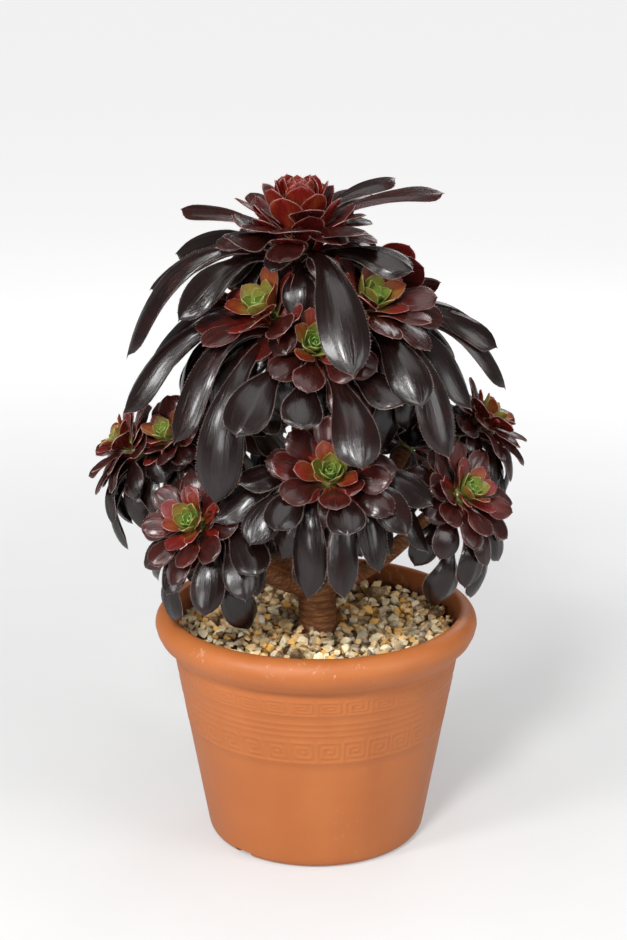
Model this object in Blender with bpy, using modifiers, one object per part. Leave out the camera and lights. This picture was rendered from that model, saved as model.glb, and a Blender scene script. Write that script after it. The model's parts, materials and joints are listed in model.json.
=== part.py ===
"""A branching rosette succulent growing in a round plastic pot with a gravel top dressing.

Metres, +Z up. The origin is the middle of the pot's base, and the front is -Y.
A bearing is an angle about the vertical in degrees: 0 is the front, 90 is +X.
"""

import math
import random
from itertools import product

import bmesh
import bpy
from mathutils import Vector
from mathutils.bvhtree import BVHTree

MM = 0.001
UP = Vector((0, 0, 1))
PART_NAME = "potted_succulent"
FIT_GAP = 0.35 * MM  # clearance between pieces that touch in the real object
SHARP_ANGLE = 40

# Pot, in millimetres until it is turned.
POT_HEIGHT = 147.5
RIM_RADIUS = 100.3
RIM_CREST_RADIUS = 91.5
RIM_CREST_WIDTH = 2.4  # from the top of the roll to the crest's inner corner
RIM_SHOULDER = 138.5  # height where the roll is widest
RIM_ROLL_STEPS = 4
CREST_ROUNDING = ((0, 3.5), (0.8, 0.9))  # out and down from the crest's inner corner
RIM_TUCK = ((1.2, 5.0), (4.0, 9.5))  # in and down from the roll's widest point
RIM_LIP_HEIGHT = 126.5  # lower edge of the rolled rim
RIM_LIP_RADIUS = 93.0
WALL = 2.6
BODY_TOP_RADIUS = 89.9  # outer radius of the wall under the rim
BODY_FOOT_RADIUS = 69.0
LIP_STEP = 0.4  # the wall starts this far above the rim's lower edge
FOOT_HEIGHT = 8.0  # height where the rounded foot meets the wall
FOOT_ROUNDING = (4.2, 2.6)  # out and up from the foot ring
FOOT_RING_RADIUS = 62.5
FOOT_RING_INNER_RADIUS = 53.0
FOOT_DEPTH = 4.0  # how far the floor's underside is raised
FLOOR_TOP = 7.0
FLOOR_COVE = (3.0, 4.0)  # how far the floor's corner is rounded, in and up
CENTRE_PAD_RADIUS = 20.0
RECESS_SLOPE = 1.0  # how far the sides of the recess lean
POT_STEPS = 40
NOTCH_COUNT = 3
NOTCH_BEARING = -42.0
NOTCH_WIDTH = 12.5
NOTCH_LENGTH = 22.0
NOTCH_REACH = 61.5
DRAIN_RADIUS = 4.5
DRAIN_REACH = 38.0
CUT_MARGIN = 2.0  # how far a cutter goes past what it cuts

# What fills the pot.
MIX_TOP = 126.0
GRAVEL_BOTTOM = 126.4
MIX_FOOT_ROUNDING = (3.6, 5.0)
GRAVEL_TOP = 134.5
GRAVEL_CROWN = ((0, 1.2), (40, 0.6))  # radius and height above the gravel's edge
STEM_HOLE_RADIUS = 13.4
STEM_HOLE_BOTTOM = 79.0

# Main stem: centre line points and radii, from its buried end to the leading rosette.
STEM_LINE = (
    ((1, 0, 80), 10.0),
    ((1, 0, 120), 12.4),
    ((1, 0, 140), 12.0),
    ((0, 1, 165), 11.6),
    ((-2, 2, 200), 10.2),
    ((-6, 2, 250), 8.6),
    ((-9, 1, 300), 7.4),
    ((-10, 0, 345), 6.2),
)
STEM_SIDES = 12
BRANCH_SIDES = 8
BRANCH_STEPS = 6
BRANCH_RISE = 0.25  # how steeply a branch leaves the main stem
BRANCH_FOOT = 1.06  # a branch's radius at its foot, as a share of its mean
BRANCH_TAPER = 0.12
BRANCH_TENSION = 0.38
BRANCH_STANDOFF = 1.0  # a branch's foot keeps this far off the main stem
BRANCH_TILT_ROOM = 0.35  # and this share of its radius more, for its tilt

# Rosettes: crown point (mm), bearing and tilt of its axis (degrees), where its branch leaves the
# main stem (mm), the branch's radius (mm), the length of a mature leaf (mm) and how many leaves
# grow by rule.
ROSETTES = {
    "leader": ((-10, -1, 372), 0, 6, None, 6.0, 74, 12),
    "upper_left": ((-22, -18, 330), -50, 40, 296, 4.4, 76, 8),
    "upper_front": ((-2, -34, 316), 5, 55, 282, 4.4, 62, 7),
    "upper_right": ((24, -16, 334), 50, 40, 306, 4.4, 74, 8),
    "upper_back_left": ((-26, 22, 326), -140, 45, 290, 4.4, 88, 11),
    "upper_back_right": ((20, 26, 330), 140, 45, 301, 4.4, 88, 11),
    "front": ((8, -66, 246), 0, 46, 176, 5.4, 60, 8),
    "front_left": ((-66, -50, 214), -36, 56, 160, 5.2, 54, 9),
    "front_right": ((82, -32, 226), 50, 52, 162, 5.2, 52, 11),
    "side_left": ((-109, 2, 246), -86, 50, 172, 5.2, 46, 11),
    "inner_left": ((-84, -8, 252), -50, 40, 189, 4.8, 46, 9),
    "side_right": ((97, 12, 258), 92, 46, 181, 5.2, 48, 12),
    "back_left": ((-64, 58, 246), -135, 46, 164, 5.2, 60, 13),
    "back": ((-4, 78, 252), 180, 48, 180, 5.4, 62, 13),
    "back_right": ((62, 60, 240), 135, 46, 166, 5.2, 60, 13),
}

# Leaves whose place is set one by one: bearing and reach of the tip from the crown, its rise
# above the crown, the blade's width (mm) and the angle above level at which the leaf sets out.
PLACED_LEAVES = {
    "leader": (
        (-86, 109, -60, 27, 30),
        (-99, 94, -28, 24, 25),
        (-64, 77, -35, 25, 28),
        (-105, 70, 18, 20, 30),
        (-42, 57, 10, 21, 25),
        (-124, 90, -12, 24, 30),
        (-5, 52, 18, 27, 38),
        (36, 60, 14, 25, 40),
        (66, 70, -6, 25, 32),
        (105, 85, 26, 22, 46),
        (120, 64, 38, 20, 48),
        (143, 72, 24, 24, 46),
        (20, 86, -59, 29, 40),
    ),
    "upper_left": (
        (-86, 92, -53, 24, 26),
        (-110, 94, -40, 22, 32),
        (-56, 73, -62, 24, 25),
        (-30, 77, -92, 28, 5),
    ),
    "upper_front": (
        (-36, 70, -34, 27, 10),
        (-6, 58, -26, 24, -5),
        (22, 72, -50, 27, 5),
        (52, 62, -20, 24, 0),
    ),
    "upper_right": (
        (32, 66, -40, 25, 20),
        (72, 68, -52, 24, 25),
        (46, 77, -77, 25, 22),
        (95, 85, -16, 20, 22),
        (111, 78, -8, 20, 25),
        (96, 94, -42, 20, 25),
    ),
    "front": (
        (-22, 38, -60, 22, 25),
        (12, 38, -58, 19, 25),
        (44, 42, -44, 21, 25),
        (72, 46, -50, 21, 22),
        (90, 56, -42, 21, 25),
        (56, 52, -20, 21, 30),
        (84, 58, -10, 20, 35),
        (-34, 54, -12, 21, 30),
        (-74, 52, 5, 21, 40),
        (-82, 66, -20, 23, 30),
        (-54, 56, -24, 21, 20),
        (10, 54, -10, 22, 25),
    ),
    "front_left": (
        (-44, 30, -34, 18, 0),
        (2, 42, -40, 20, 15),
        (28, 54, -26, 21, 20),
        (44, 58, -38, 21, 25),
        (30, 62, -8, 22, 30),
    ),
}

# The blade: share along the leaf, share of its width, share of its thickness.
BLADE = ((0.16, 0.28, 1.0), (0.45, 0.55, 0.95), (0.74, 1.0, 0.85), (0.93, 0.74, 0.6), (1.0, 0.2, 0.4))
LEAF_THICKNESS = 2.5 * MM
LEAF_KNEE = 0.5  # how far along its length a leaf keeps the way it set out
CORE_SIDES = 8
CORE_SWELL = 1.02  # a core's radius, as a share of its branch's
CORE_RING = 3.4 * MM
CORE_RINGS = {"leader": 9}
SIDE_CORE_RINGS = 6
LEAF_TURN = 135.0  # degrees from one leaf to the next, three eighths of a turn
LEAF_STRAY = 12.0
HIGH_RISE = 20  # a placed leaf that rises more than this (mm) grows from the core's top
RAISED_ROOT = 0.3
HANGING_ROOT = -0.3
ROOT_TURN_COST = 0.012  # how much a face that looks the wrong way counts against one at the wrong height
# Leaves that grow by rule. Each pair is the youngest leaf's value and what age adds to it.
SPROUT_HEIGHT = (0.42, -0.84)  # along the core, in core lengths from its middle
SPROUT_SPREAD = (38, 58)  # angle of the tip from the axis, in degrees
SPROUT_SET_OUT = (30, 38)
SPROUT_SIZE = (0.62, 0.38)
SPROUT_SAG = 0.42  # how far the oldest leaf hangs, in leaf lengths
SPROUT_REACH = 0.9
SPROUT_WIDTH = 0.24  # width as a share of the length
SPROUT_LEAST_WIDTH = 7
LEAF_CLEARANCE = 0.7 * MM
LOWEST_LEAF = 150.0 * MM  # leaves stay above the rim
# The bud of young leaves over a core: rise and radius, in core radii.
BUD = ((0.9, 1.35), (1.9, 1.35), (3.0, 0.8), (3.6, 0.25))
# What a leaf tries when something is in its way: lift and turn in degrees, and share of its length.
PLACE_LIFTS = (0, 8, -8, 16, -16, 26, -26)
PLACE_TURNS = (0, 12, -12, 24, -24)
PLACE_SHARES = (1.0, 0.95, 0.88, 0.8, 0.7)
SPROUT_TURNS = (0, 10, -10, 20, -20, 32, -32, 45, -45)
SPROUT_OPENINGS = (0, 9, -9, 18, -18)
SPROUT_SHARES = (1.0, 0.88, 0.74, 0.6)
SEED = 11

MATERIALS = {
    "terracotta_plastic": ((0.60, 0.19, 0.075), 0.55),
    "potting_mix": ((0.035, 0.022, 0.014), 0.95),
    "gravel": ((0.42, 0.30, 0.17), 0.85),
    "stem_bark": ((0.20, 0.10, 0.05), 0.8),
    "leaf": ((0.035, 0.012, 0.014), 0.3),
}


def clear_scene():
    for item in list(bpy.data.objects):
        bpy.data.objects.remove(item, do_unlink=True)


def collection(name):
    made = bpy.data.collections.new(name)
    bpy.context.scene.collection.children.link(made)
    return made


def material(name):
    colour, roughness = MATERIALS[name]
    made = bpy.data.materials.get(name) or bpy.data.materials.new(name)
    made.use_nodes = True
    shader = made.node_tree.nodes["Principled BSDF"]
    shader.inputs["Base Color"].default_value = (*colour, 1.0)
    shader.inputs["Roughness"].default_value = roughness
    shader.inputs["Metallic"].default_value = 0.0
    return made


def piece(name, mesh, material_name, home):
    made = bpy.data.objects.new(name, mesh)
    mesh.materials.append(material(material_name))
    home.objects.link(made)
    return made


def finished(bm, name):
    bmesh.ops.recalc_face_normals(bm, faces=bm.faces)
    mesh = bpy.data.meshes.new(name)
    bm.to_mesh(mesh)
    bm.free()
    mesh.shade_smooth()
    mesh.set_sharp_from_angle(angle=math.radians(SHARP_ANGLE))
    return mesh


def toward(bearing):
    angle = math.radians(bearing)
    return Vector((math.sin(angle), -math.cos(angle), 0))


def turned(name, profile, material_name, home, steps=POT_STEPS):
    """A profile in millimetres, from the axis out and down its outer side, turned about Z."""
    bm = bmesh.new()
    corners = [bm.verts.new((r * MM, 0, z * MM)) for r, z in profile]
    for a, b in zip(corners, corners[1:]):
        bm.edges.new((a, b))
    mesh = bpy.data.meshes.new(name)
    bm.to_mesh(mesh)
    bm.free()
    made = piece(name, mesh, material_name, home)
    screw = made.modifiers.new("turn", "SCREW")
    screw.steps = screw.render_steps = steps
    screw.use_merge_vertices = True
    screw.merge_threshold = 0.00005
    screw.use_smooth_shade = True
    return made


def cut(target, cutter):
    cutter.hide_render = True
    cutter.display_type = "WIRE"
    bite = target.modifiers.new(cutter.name, "BOOLEAN")
    bite.operation = "DIFFERENCE"
    bite.solver = "EXACT"
    bite.object = cutter


def drill(name, radius, low, high, x, y, cutters, sides=24):
    """A round cutter between two heights, in millimetres."""
    bm = bmesh.new()
    bmesh.ops.create_cone(
        bm, cap_ends=True, segments=sides, radius1=radius * MM, radius2=radius * MM, depth=(high - low) * MM
    )
    bmesh.ops.translate(bm, verts=bm.verts, vec=(x * MM, y * MM, (low + high) / 2 * MM))
    made = bpy.data.objects.new(name, finished(bm, name))
    cutters.objects.link(made)
    return made


def wall_inside(height):
    """Inner radius of the pot's wall at a height, in millimetres."""
    share = (height - FOOT_HEIGHT) / (RIM_LIP_HEIGHT - FOOT_HEIGHT)
    return BODY_FOOT_RADIUS + (BODY_TOP_RADIUS - BODY_FOOT_RADIUS) * share - WALL


def arc(centre, radii, start, end, count):
    """Points of an elliptical arc in the profile plane, both ends included."""
    found = []
    for i in range(count + 1):
        angle = math.radians(start + (end - start) * i / count)
        found.append((centre[0] + radii[0] * math.cos(angle), centre[1] + radii[1] * math.sin(angle)))
    return found


def pot(home, cutters):
    """The rolled rim, the tapered wall, and a floor raised on a foot ring and a centre pad."""
    roll = (RIM_RADIUS - RIM_CREST_RADIUS, POT_HEIGHT - RIM_SHOULDER)
    inner_crest = RIM_CREST_RADIUS - RIM_CREST_WIDTH
    cove_top = FLOOR_TOP + FLOOR_COVE[1]
    profile = [(0, FLOOR_TOP), (wall_inside(FLOOR_TOP) - FLOOR_COVE[0], FLOOR_TOP)]
    profile += [(wall_inside(height), height) for height in (cove_top, RIM_LIP_HEIGHT)]
    profile += [(inner_crest + out, POT_HEIGHT - down) for out, down in CREST_ROUNDING]
    profile += arc((RIM_CREST_RADIUS, RIM_SHOULDER), roll, 90, 0, RIM_ROLL_STEPS)
    profile += [(RIM_RADIUS - inward, RIM_SHOULDER - down) for inward, down in RIM_TUCK]
    profile += [(RIM_LIP_RADIUS, RIM_LIP_HEIGHT), (BODY_TOP_RADIUS, RIM_LIP_HEIGHT + LIP_STEP)]
    profile += [(BODY_FOOT_RADIUS, FOOT_HEIGHT), (FOOT_RING_RADIUS + FOOT_ROUNDING[0], FOOT_ROUNDING[1])]
    profile += [(FOOT_RING_RADIUS, 0), (FOOT_RING_INNER_RADIUS, 0)]
    profile += [(FOOT_RING_INNER_RADIUS - RECESS_SLOPE, FOOT_DEPTH)]
    profile += [(CENTRE_PAD_RADIUS + RECESS_SLOPE, FOOT_DEPTH), (CENTRE_PAD_RADIUS, 0), (0, 0)]
    made = turned("pot", profile, "terracotta_plastic", home)
    for i in range(NOTCH_COUNT):
        bearing = NOTCH_BEARING + i * 360 / NOTCH_COUNT
        out = toward(bearing)
        bm = bmesh.new()
        bmesh.ops.create_cube(bm, size=1)
        bmesh.ops.scale(bm, verts=bm.verts, vec=(NOTCH_WIDTH * MM, NOTCH_LENGTH * MM, 2 * FOOT_DEPTH * MM))
        mesh = finished(bm, f"notch_{i}")
        notch = bpy.data.objects.new(f"notch_{i}", mesh)
        notch.location = out * NOTCH_REACH * MM
        notch.rotation_euler = (0, 0, math.radians(bearing))
        cutters.objects.link(notch)
        cut(made, notch)
        hole = out * DRAIN_REACH
        depth = (-CUT_MARGIN, FLOOR_TOP + CUT_MARGIN)
        cut(made, drill(f"drain_{i}", DRAIN_RADIUS, *depth, hole.x, hole.y, cutters, sides=16))
    return made


def fillings(home, cutters):
    """The potting mix up to the gravel, and the gravel layer, each with room for the stem."""
    gap = FIT_GAP / MM
    bottom = FLOOR_TOP + gap
    step = bottom + MIX_FOOT_ROUNDING[1]
    profile = [(0, MIX_TOP), (wall_inside(MIX_TOP) - gap, MIX_TOP), (wall_inside(step) - gap, step)]
    profile += [(wall_inside(FLOOR_TOP) - MIX_FOOT_ROUNDING[0], bottom), (0, bottom)]
    mix = turned("potting_mix", profile, "potting_mix", home)
    outer = wall_inside(GRAVEL_BOTTOM) - gap
    profile = [(radius, GRAVEL_TOP + rise) for radius, rise in GRAVEL_CROWN]
    profile += [(outer, GRAVEL_TOP), (outer, GRAVEL_BOTTOM), (0, GRAVEL_BOTTOM)]
    gravel = turned("gravel_top_dressing", profile, "gravel", home)
    x, y, _ = STEM_LINE[0][0]
    cutter = drill("stem_hole", STEM_HOLE_RADIUS, STEM_HOLE_BOTTOM, GRAVEL_TOP + CUT_MARGIN, x, y, cutters)
    cut(mix, cutter)
    cut(gravel, cutter)
    return mix, gravel


def frame_across(tangent, hint):
    """Two directions across a tangent: the first as near as can be to the hint."""
    across = (hint - tangent * hint.dot(tangent)).normalized()
    return across, tangent.cross(across)


def tube(points, radii, sides, hint, arrive=None):
    """A closed round tube along a line of points, made by extruding its end face.

    Returns the bmesh and its side faces, ring by ring. Its last face looks along arrive.
    """
    bm = bmesh.new()
    rings = []
    count = len(points)
    tangents = [(points[min(i + 1, count - 1)] - points[max(i - 1, 0)]).normalized() for i in range(count)]
    if arrive is not None:
        tangents[-1] = arrive
    bmesh.ops.create_circle(bm, cap_ends=True, segments=sides, radius=1)
    face = bm.faces[:][0]
    order = list(face.verts)
    for i, (point, radius, tangent) in enumerate(zip(points, radii, tangents)):
        across, other = frame_across(tangent, hint)
        if i:
            before = set(bm.faces)
            face = bmesh.ops.extrude_discrete_faces(bm, faces=[face])["faces"][0]
            order = list(face.verts)
            rings.append([f for f in bm.faces if f not in before and f is not face])
        for k, vert in enumerate(order):
            angle = 2 * math.pi * k / sides
            vert.co = point + (across * math.cos(angle) + other * math.sin(angle)) * radius
    bmesh.ops.holes_fill(bm, edges=[e for e in bm.edges if e.is_boundary], sides=0)
    return bm, rings


def curve_between(start, leave, end, arrive, count):
    """A cubic curve that leaves and arrives along two directions."""
    span = (end - start).length * BRANCH_TENSION
    a, b = start + leave * span, end - arrive * span
    found = []
    for i in range(count + 1):
        t = i / count
        s = 1 - t
        found.append(start * s**3 + a * (3 * s * s * t) + b * (3 * s * t * t) + end * t**3)
    return found


def stem_at(height):
    """Centre and radius of the main stem at a height, in metres."""
    for (low, low_radius), (high, high_radius) in zip(STEM_LINE, STEM_LINE[1:]):
        if low[2] <= height <= high[2]:
            share = (height - low[2]) / (high[2] - low[2])
            centre = Vector(low).lerp(Vector(high), share) * MM
            return centre, (low_radius + (high_radius - low_radius) * share) * MM
    raise ValueError(f"the stem doesn't reach {height} mm")


def crown_frame(name):
    """Crown point and axis of a rosette, in metres."""
    crown, bearing, tilt = ROSETTES[name][:3]
    lean = math.radians(tilt)
    axis = (UP * math.cos(lean) + toward(bearing) * math.sin(lean)).normalized()
    return Vector(crown) * MM, axis


def core_length(name):
    return CORE_RINGS.get(name, SIDE_CORE_RINGS) * CORE_RING


def stems(home, garden):
    """The main stem and one branch to each rosette below the leader."""
    leader, leader_axis = crown_frame("leader")
    points = [Vector(p) * MM for p, _ in STEM_LINE]
    points.append(leader - leader_axis * (core_length("leader") / 2 + FIT_GAP))
    radii = [r * MM for _, r in STEM_LINE] + [ROSETTES["leader"][4] * MM]
    bm, _ = tube(points, radii, STEM_SIDES, toward(0), leader_axis)
    garden.add_solid("main_stem", bm)
    piece("main_stem", finished(bm, "main_stem"), "stem_bark", home)
    for name, (_, bearing, _, height, radius, _, _) in ROSETTES.items():
        if height is None:
            continue
        crown, axis = crown_frame(name)
        centre, stem_radius = stem_at(height)
        end = crown - axis * (core_length(name) / 2 + FIT_GAP)
        out = Vector((end.x - centre.x, end.y - centre.y, 0)).normalized()
        start = centre + out * (stem_radius + (BRANCH_STANDOFF + radius * BRANCH_TILT_ROOM) * MM)
        leave = (out + UP * BRANCH_RISE).normalized()
        line = curve_between(start, leave, end, axis, BRANCH_STEPS)
        shares = [BRANCH_FOOT - BRANCH_TAPER * i / BRANCH_STEPS for i in range(BRANCH_STEPS + 1)]
        radii = [radius * MM * share for share in shares]
        bm, _ = tube(line, radii, BRANCH_SIDES, toward(bearing + 90), axis)
        garden.add_solid(f"branch_{name}", bm)
        piece(f"branch_{name}", finished(bm, f"branch_{name}"), "stem_bark", home)


def leaf_stations(root, heading, tip, width, hint, grow=0.0):
    """The blade's cross-sections: four corners at each station, anticlockwise from the left bottom one."""
    knee = root + heading * (tip - root).length * LEAF_KNEE
    found = []
    for share, wide, thick in BLADE:
        point = root * (1 - share) ** 2 + knee * (2 * share * (1 - share)) + tip * share**2
        tangent = ((knee - root) * (1 - share) + (tip - knee) * share).normalized()
        side = (hint - tangent * hint.dot(tangent)).normalized()
        normal = side.cross(tangent)
        half = side * (width * MM * wide / 2 + grow)
        lift = normal * (LEAF_THICKNESS * thick / 2 + grow)
        found.append([point - half - lift, point + half - lift, point + half + lift, point - half + lift])
    return found


def with_root(root, stations):
    """The cross-sections with one more where the leaf joins its core."""
    first = stations[0]
    middle = sum(first, Vector()) / len(first)
    return [[root + corner - middle for corner in first]] + stations


def blade_tree(stations):
    """A search tree of the blade's surface, for finding what it would cut into."""
    corners = [c for station in stations for c in station]
    quads = [(0, 1, 2, 3)]
    last = 4 * (len(stations) - 1)
    quads.append((last, last + 1, last + 2, last + 3))
    for i in range(len(stations) - 1):
        for k in range(4):
            a, b = 4 * i + k, 4 * i + (k + 1) % 4
            quads.append((a, b, b + 4, a + 4))
    middle = sum(corners, Vector()) / len(corners)
    reach = max((c - middle).length for c in corners)
    return middle, reach, BVHTree.FromPolygons(corners, quads)


class Garden:
    """What has grown so far, so that a new leaf can keep clear of it."""

    def __init__(self):
        self.grown = []

    def add_solid(self, name, bm):
        corners = [v.co.copy() for v in bm.verts]
        middle = sum(corners, Vector()) / len(corners)
        reach = max((c - middle).length for c in corners)
        self.grown.append((name, middle, reach, BVHTree.FromBMesh(bm)))

    def add_leaf(self, name, stations):
        self.grown.append((name, *blade_tree(stations)))

    def is_clear(self, name, root, heading, tip, width, hint):
        stations = leaf_stations(root, heading, tip, width, hint, LEAF_CLEARANCE)
        if min(c.z for station in stations for c in station) < LOWEST_LEAF:
            return False
        near_root = blade_tree(with_root(root, stations))
        beyond = blade_tree(stations[1:])
        for owner, middle, reach, tree in self.grown:
            mine = beyond if owner == name else near_root
            if (mine[0] - middle).length < mine[1] + reach and mine[2].overlap(tree):
                return False
        return True


class Rosette:
    """A crown of leaves grown out of the faces of one core."""

    def __init__(self, name, garden, chance):
        self.name, self.garden, self.chance = name, garden, chance
        self.crown, self.axis = crown_frame(name)
        self.radius = ROSETTES[name][4] * MM * CORE_SWELL
        rings = round(core_length(name) / CORE_RING)
        base = self.crown - self.axis * core_length(name) / 2
        points = [base + self.axis * CORE_RING * i for i in range(rings + 1)]
        top = points[-1]
        radii = [self.radius] * (rings + 1)
        for rise, share in BUD:
            points.append(top + self.axis * self.radius * rise)
            radii.append(self.radius * share)
        self.hint = frame_across(self.axis, toward(ROSETTES[name][1] + 90))[0]
        self.bm, self.rings = tube(points, radii, CORE_SIDES, self.hint)
        self.free = [face for ring in self.rings[:rings] for face in ring]
        self.leaves = []

    def take_face(self, direction, height):
        """The free core face nearest to a direction and a height along the axis."""
        def distance(face):
            offset = face.calc_center_median() - self.crown
            along = offset.dot(self.axis)
            out = (offset - self.axis * along).normalized()
            return (1 - out.dot(direction)) * ROOT_TURN_COST + abs(along - height)
        return min(self.free, key=distance)

    def grow(self, face, heading, tip, width, hint):
        """Extrudes the core face along the leaf if nothing is in the way."""
        root = face.calc_center_median()
        if not self.garden.is_clear(self.name, root, heading, tip, width, hint):
            return False
        stations = leaf_stations(root, heading, tip, width, hint)
        self.free = [f for f in self.free if f is not face]
        self.leaves.append((face, stations))
        self.garden.add_leaf(self.name, with_root(root, stations))
        return True

    def place(self, bearing, reach, rise, width, set_out):
        """A leaf whose tip has its own place. One that rises high grows from the core's top."""
        tip = self.crown + (toward(bearing) * reach + UP * rise) * MM
        height = core_length(self.name) * (RAISED_ROOT if rise > HIGH_RISE else HANGING_ROOT)
        for lift, turn, share in product(PLACE_LIFTS, PLACE_TURNS, PLACE_SHARES):
            aim = self.crown + (tip - self.crown) * share
            level = math.radians(set_out + lift)
            heading = toward(bearing) * math.cos(level) + UP * math.sin(level)
            out = (heading - self.axis * heading.dot(self.axis)).normalized()
            face = self.take_face(out, height)
            if self.grow(face, heading, aim, width, toward(bearing + 90 + turn)):
                return

    def sprout(self, index, count, length):
        """A leaf that follows the spiral: the oldest are lowest, longest and hang most."""
        age = 1 - index / (count - 1)
        height, spread, set_out, size = (
            first + more * age for first, more in (SPROUT_HEIGHT, SPROUT_SPREAD, SPROUT_SET_OUT, SPROUT_SIZE)
        )
        base_turn = LEAF_TURN * index + self.chance.uniform(-LEAF_STRAY, LEAF_STRAY)
        across, other = frame_across(self.axis, self.hint)
        for turn, opening, share in product(SPROUT_TURNS, SPROUT_OPENINGS, SPROUT_SHARES):
            angle = math.radians(base_turn + turn)
            out = across * math.cos(angle) + other * math.sin(angle)
            aim, heading = (
                self.axis * math.cos(math.radians(way + opening)) + out * math.sin(math.radians(way + opening))
                for way in (spread, set_out)
            )
            face = self.take_face(out, height * core_length(self.name))
            reach = length * size * share
            sag = UP * reach * SPROUT_SAG * age
            tip = face.calc_center_median() + (aim * reach * SPROUT_REACH - sag) * MM
            width = reach * SPROUT_WIDTH + SPROUT_LEAST_WIDTH
            if self.grow(face, heading, tip, width, out.cross(self.axis)):
                return

    def mesh(self):
        for face, stations in self.leaves:
            for station in stations:
                face = bmesh.ops.extrude_discrete_faces(self.bm, faces=[face])["faces"][0]
                self.fit_face(face, station)
        return finished(self.bm, f"rosette_{self.name}")

    def fit_face(self, face, station):
        """Moves a face's corners to a cross-section, starting at the corner that twists it least."""
        corners = list(face.verts)
        middle = face.calc_center_median()
        target = sum(station, Vector()) / 4
        spans = [(v.co - middle).normalized() for v in corners]
        goals = [(c - target).normalized() for c in station]
        best = None
        for order in (goals, goals[::-1]):
            for shift in range(4):
                turned_goals = order[shift:] + order[:shift]
                score = sum(a.dot(b) for a, b in zip(spans, turned_goals))
                if best is None or score > best[0]:
                    best = (score, order is goals, shift)
        chosen = station if best[1] else station[::-1]
        chosen = chosen[best[2]:] + chosen[: best[2]]
        for vert, corner in zip(corners, chosen):
            vert.co = corner


def foliage(home, garden):
    """Every rosette: the placed leaves first, then those that grow by rule."""
    chance = random.Random(SEED)
    rosettes = [Rosette(name, garden, chance) for name in ROSETTES]
    for rosette in rosettes:
        garden.add_solid(rosette.name, rosette.bm)
    for rosette in rosettes:
        for leaf in PLACED_LEAVES.get(rosette.name, ()):
            rosette.place(*leaf)
    for rosette in rosettes:
        length, count = ROSETTES[rosette.name][5:]
        for index in range(count):
            rosette.sprout(index, count, length)
    for rosette in rosettes:
        piece(f"rosette_{rosette.name}", rosette.mesh(), "leaf", home)


def main():
    clear_scene()
    home = collection(PART_NAME)
    cutters = collection("cutters")
    pot(home, cutters)
    fillings(home, cutters)
    garden = Garden()
    stems(home, garden)
    foliage(home, garden)


main()
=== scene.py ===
"""The look of a branching rosette succulent in a round moulded pot, built round its fixed frame.

Metres, +Z up. The origin is the middle of the pot's base, and the front is -Y.
A bearing is an angle about the vertical in degrees: 0 is the front, 90 is +X.
"""

import json
import math
import random
from itertools import product

import bmesh
import bpy
from bpy.props import FloatProperty, FloatVectorProperty, IntProperty, PointerProperty
from mathutils import Matrix, Vector
from mathutils.bvhtree import BVHTree

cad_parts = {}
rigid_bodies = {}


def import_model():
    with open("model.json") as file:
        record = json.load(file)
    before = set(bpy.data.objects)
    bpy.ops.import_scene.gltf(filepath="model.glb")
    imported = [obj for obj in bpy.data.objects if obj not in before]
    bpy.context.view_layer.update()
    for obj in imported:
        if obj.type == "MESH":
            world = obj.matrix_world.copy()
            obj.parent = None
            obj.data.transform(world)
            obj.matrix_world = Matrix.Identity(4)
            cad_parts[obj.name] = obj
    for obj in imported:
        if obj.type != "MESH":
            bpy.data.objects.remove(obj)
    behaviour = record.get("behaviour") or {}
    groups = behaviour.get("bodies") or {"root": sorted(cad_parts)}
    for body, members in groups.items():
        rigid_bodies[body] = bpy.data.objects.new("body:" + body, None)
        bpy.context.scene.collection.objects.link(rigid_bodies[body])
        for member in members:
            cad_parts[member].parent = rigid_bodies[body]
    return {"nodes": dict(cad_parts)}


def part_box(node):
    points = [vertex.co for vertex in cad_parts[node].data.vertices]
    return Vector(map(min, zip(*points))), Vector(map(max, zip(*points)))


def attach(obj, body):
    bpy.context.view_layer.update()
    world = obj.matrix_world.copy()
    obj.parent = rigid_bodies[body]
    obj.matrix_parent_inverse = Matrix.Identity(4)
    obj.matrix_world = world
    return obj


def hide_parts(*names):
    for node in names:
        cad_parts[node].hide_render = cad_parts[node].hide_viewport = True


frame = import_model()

bl_info = {
    "name": "Potted Succulent",
    "version": (1, 0, 0),
    "blender": (4, 5, 0),
    "location": "3D View > Sidebar > Succulent",
    "description": "Grows a branching rosette succulent with a moulded pot, grit and studio stage",
    "category": "Add Mesh",
}

MM = 0.001
UP = Vector((0, 0, 1))
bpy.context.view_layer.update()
SEED = 11

POT_LOW, POT_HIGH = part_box("pot")
GRIT_LOW, GRIT_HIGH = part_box("gravel_top_dressing")
RIM_RADIUS = POT_HIGH.x
POT_HEIGHT = POT_HIGH.z
FILL_RADIUS = GRIT_HIGH.x

# The pot's wall, in millimetres from its axis and its base.
RIM_CREST_RADIUS = 91.5
RIM_CREST_WIDTH = 2.4
CREST_ROUNDING = 2.0
CREST_DROP = 3.2
CREST_ARC = (180, 110, 5)  # an arc's first and last angle in degrees, and its steps
RIM_ROLL_ARC = (90, 0, 14)
RIM_SHOULDER = 138.5
RIM_LIP_HEIGHT = 126.5
RIM_LIP_RADIUS = 93.0
RIM_TUCKS = ((1.0, 4.0), (3.0, 8.0))  # inwards from the widest ring, and down from the shoulder
INNER_TUCK = (0.6, 8.0)  # towards the axis from the crest's inside, and up from the lip
LIP_STEP = 0.5
LIP_EDGE = ((0.3, 0.5), (0.0, 0.0), (-0.5, -0.1))  # outwards and up from the lip's corner
LIP_ROOT = ((0.5, 0.4), (0.0, -0.4))  # the same from the top of the body
WALL = 2.6
INNER_RINGS = (60, 100, RIM_LIP_HEIGHT)
OUTER_RINGS = (14, 22, 30, 38, 46, 54, 62, 70, 122)
BODY_TOP_RADIUS = 89.9
BODY_FOOT_RADIUS = 69.0
FOOT_HEIGHT = 8.0
FOOT_RING_RADIUS = 62.5
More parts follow.
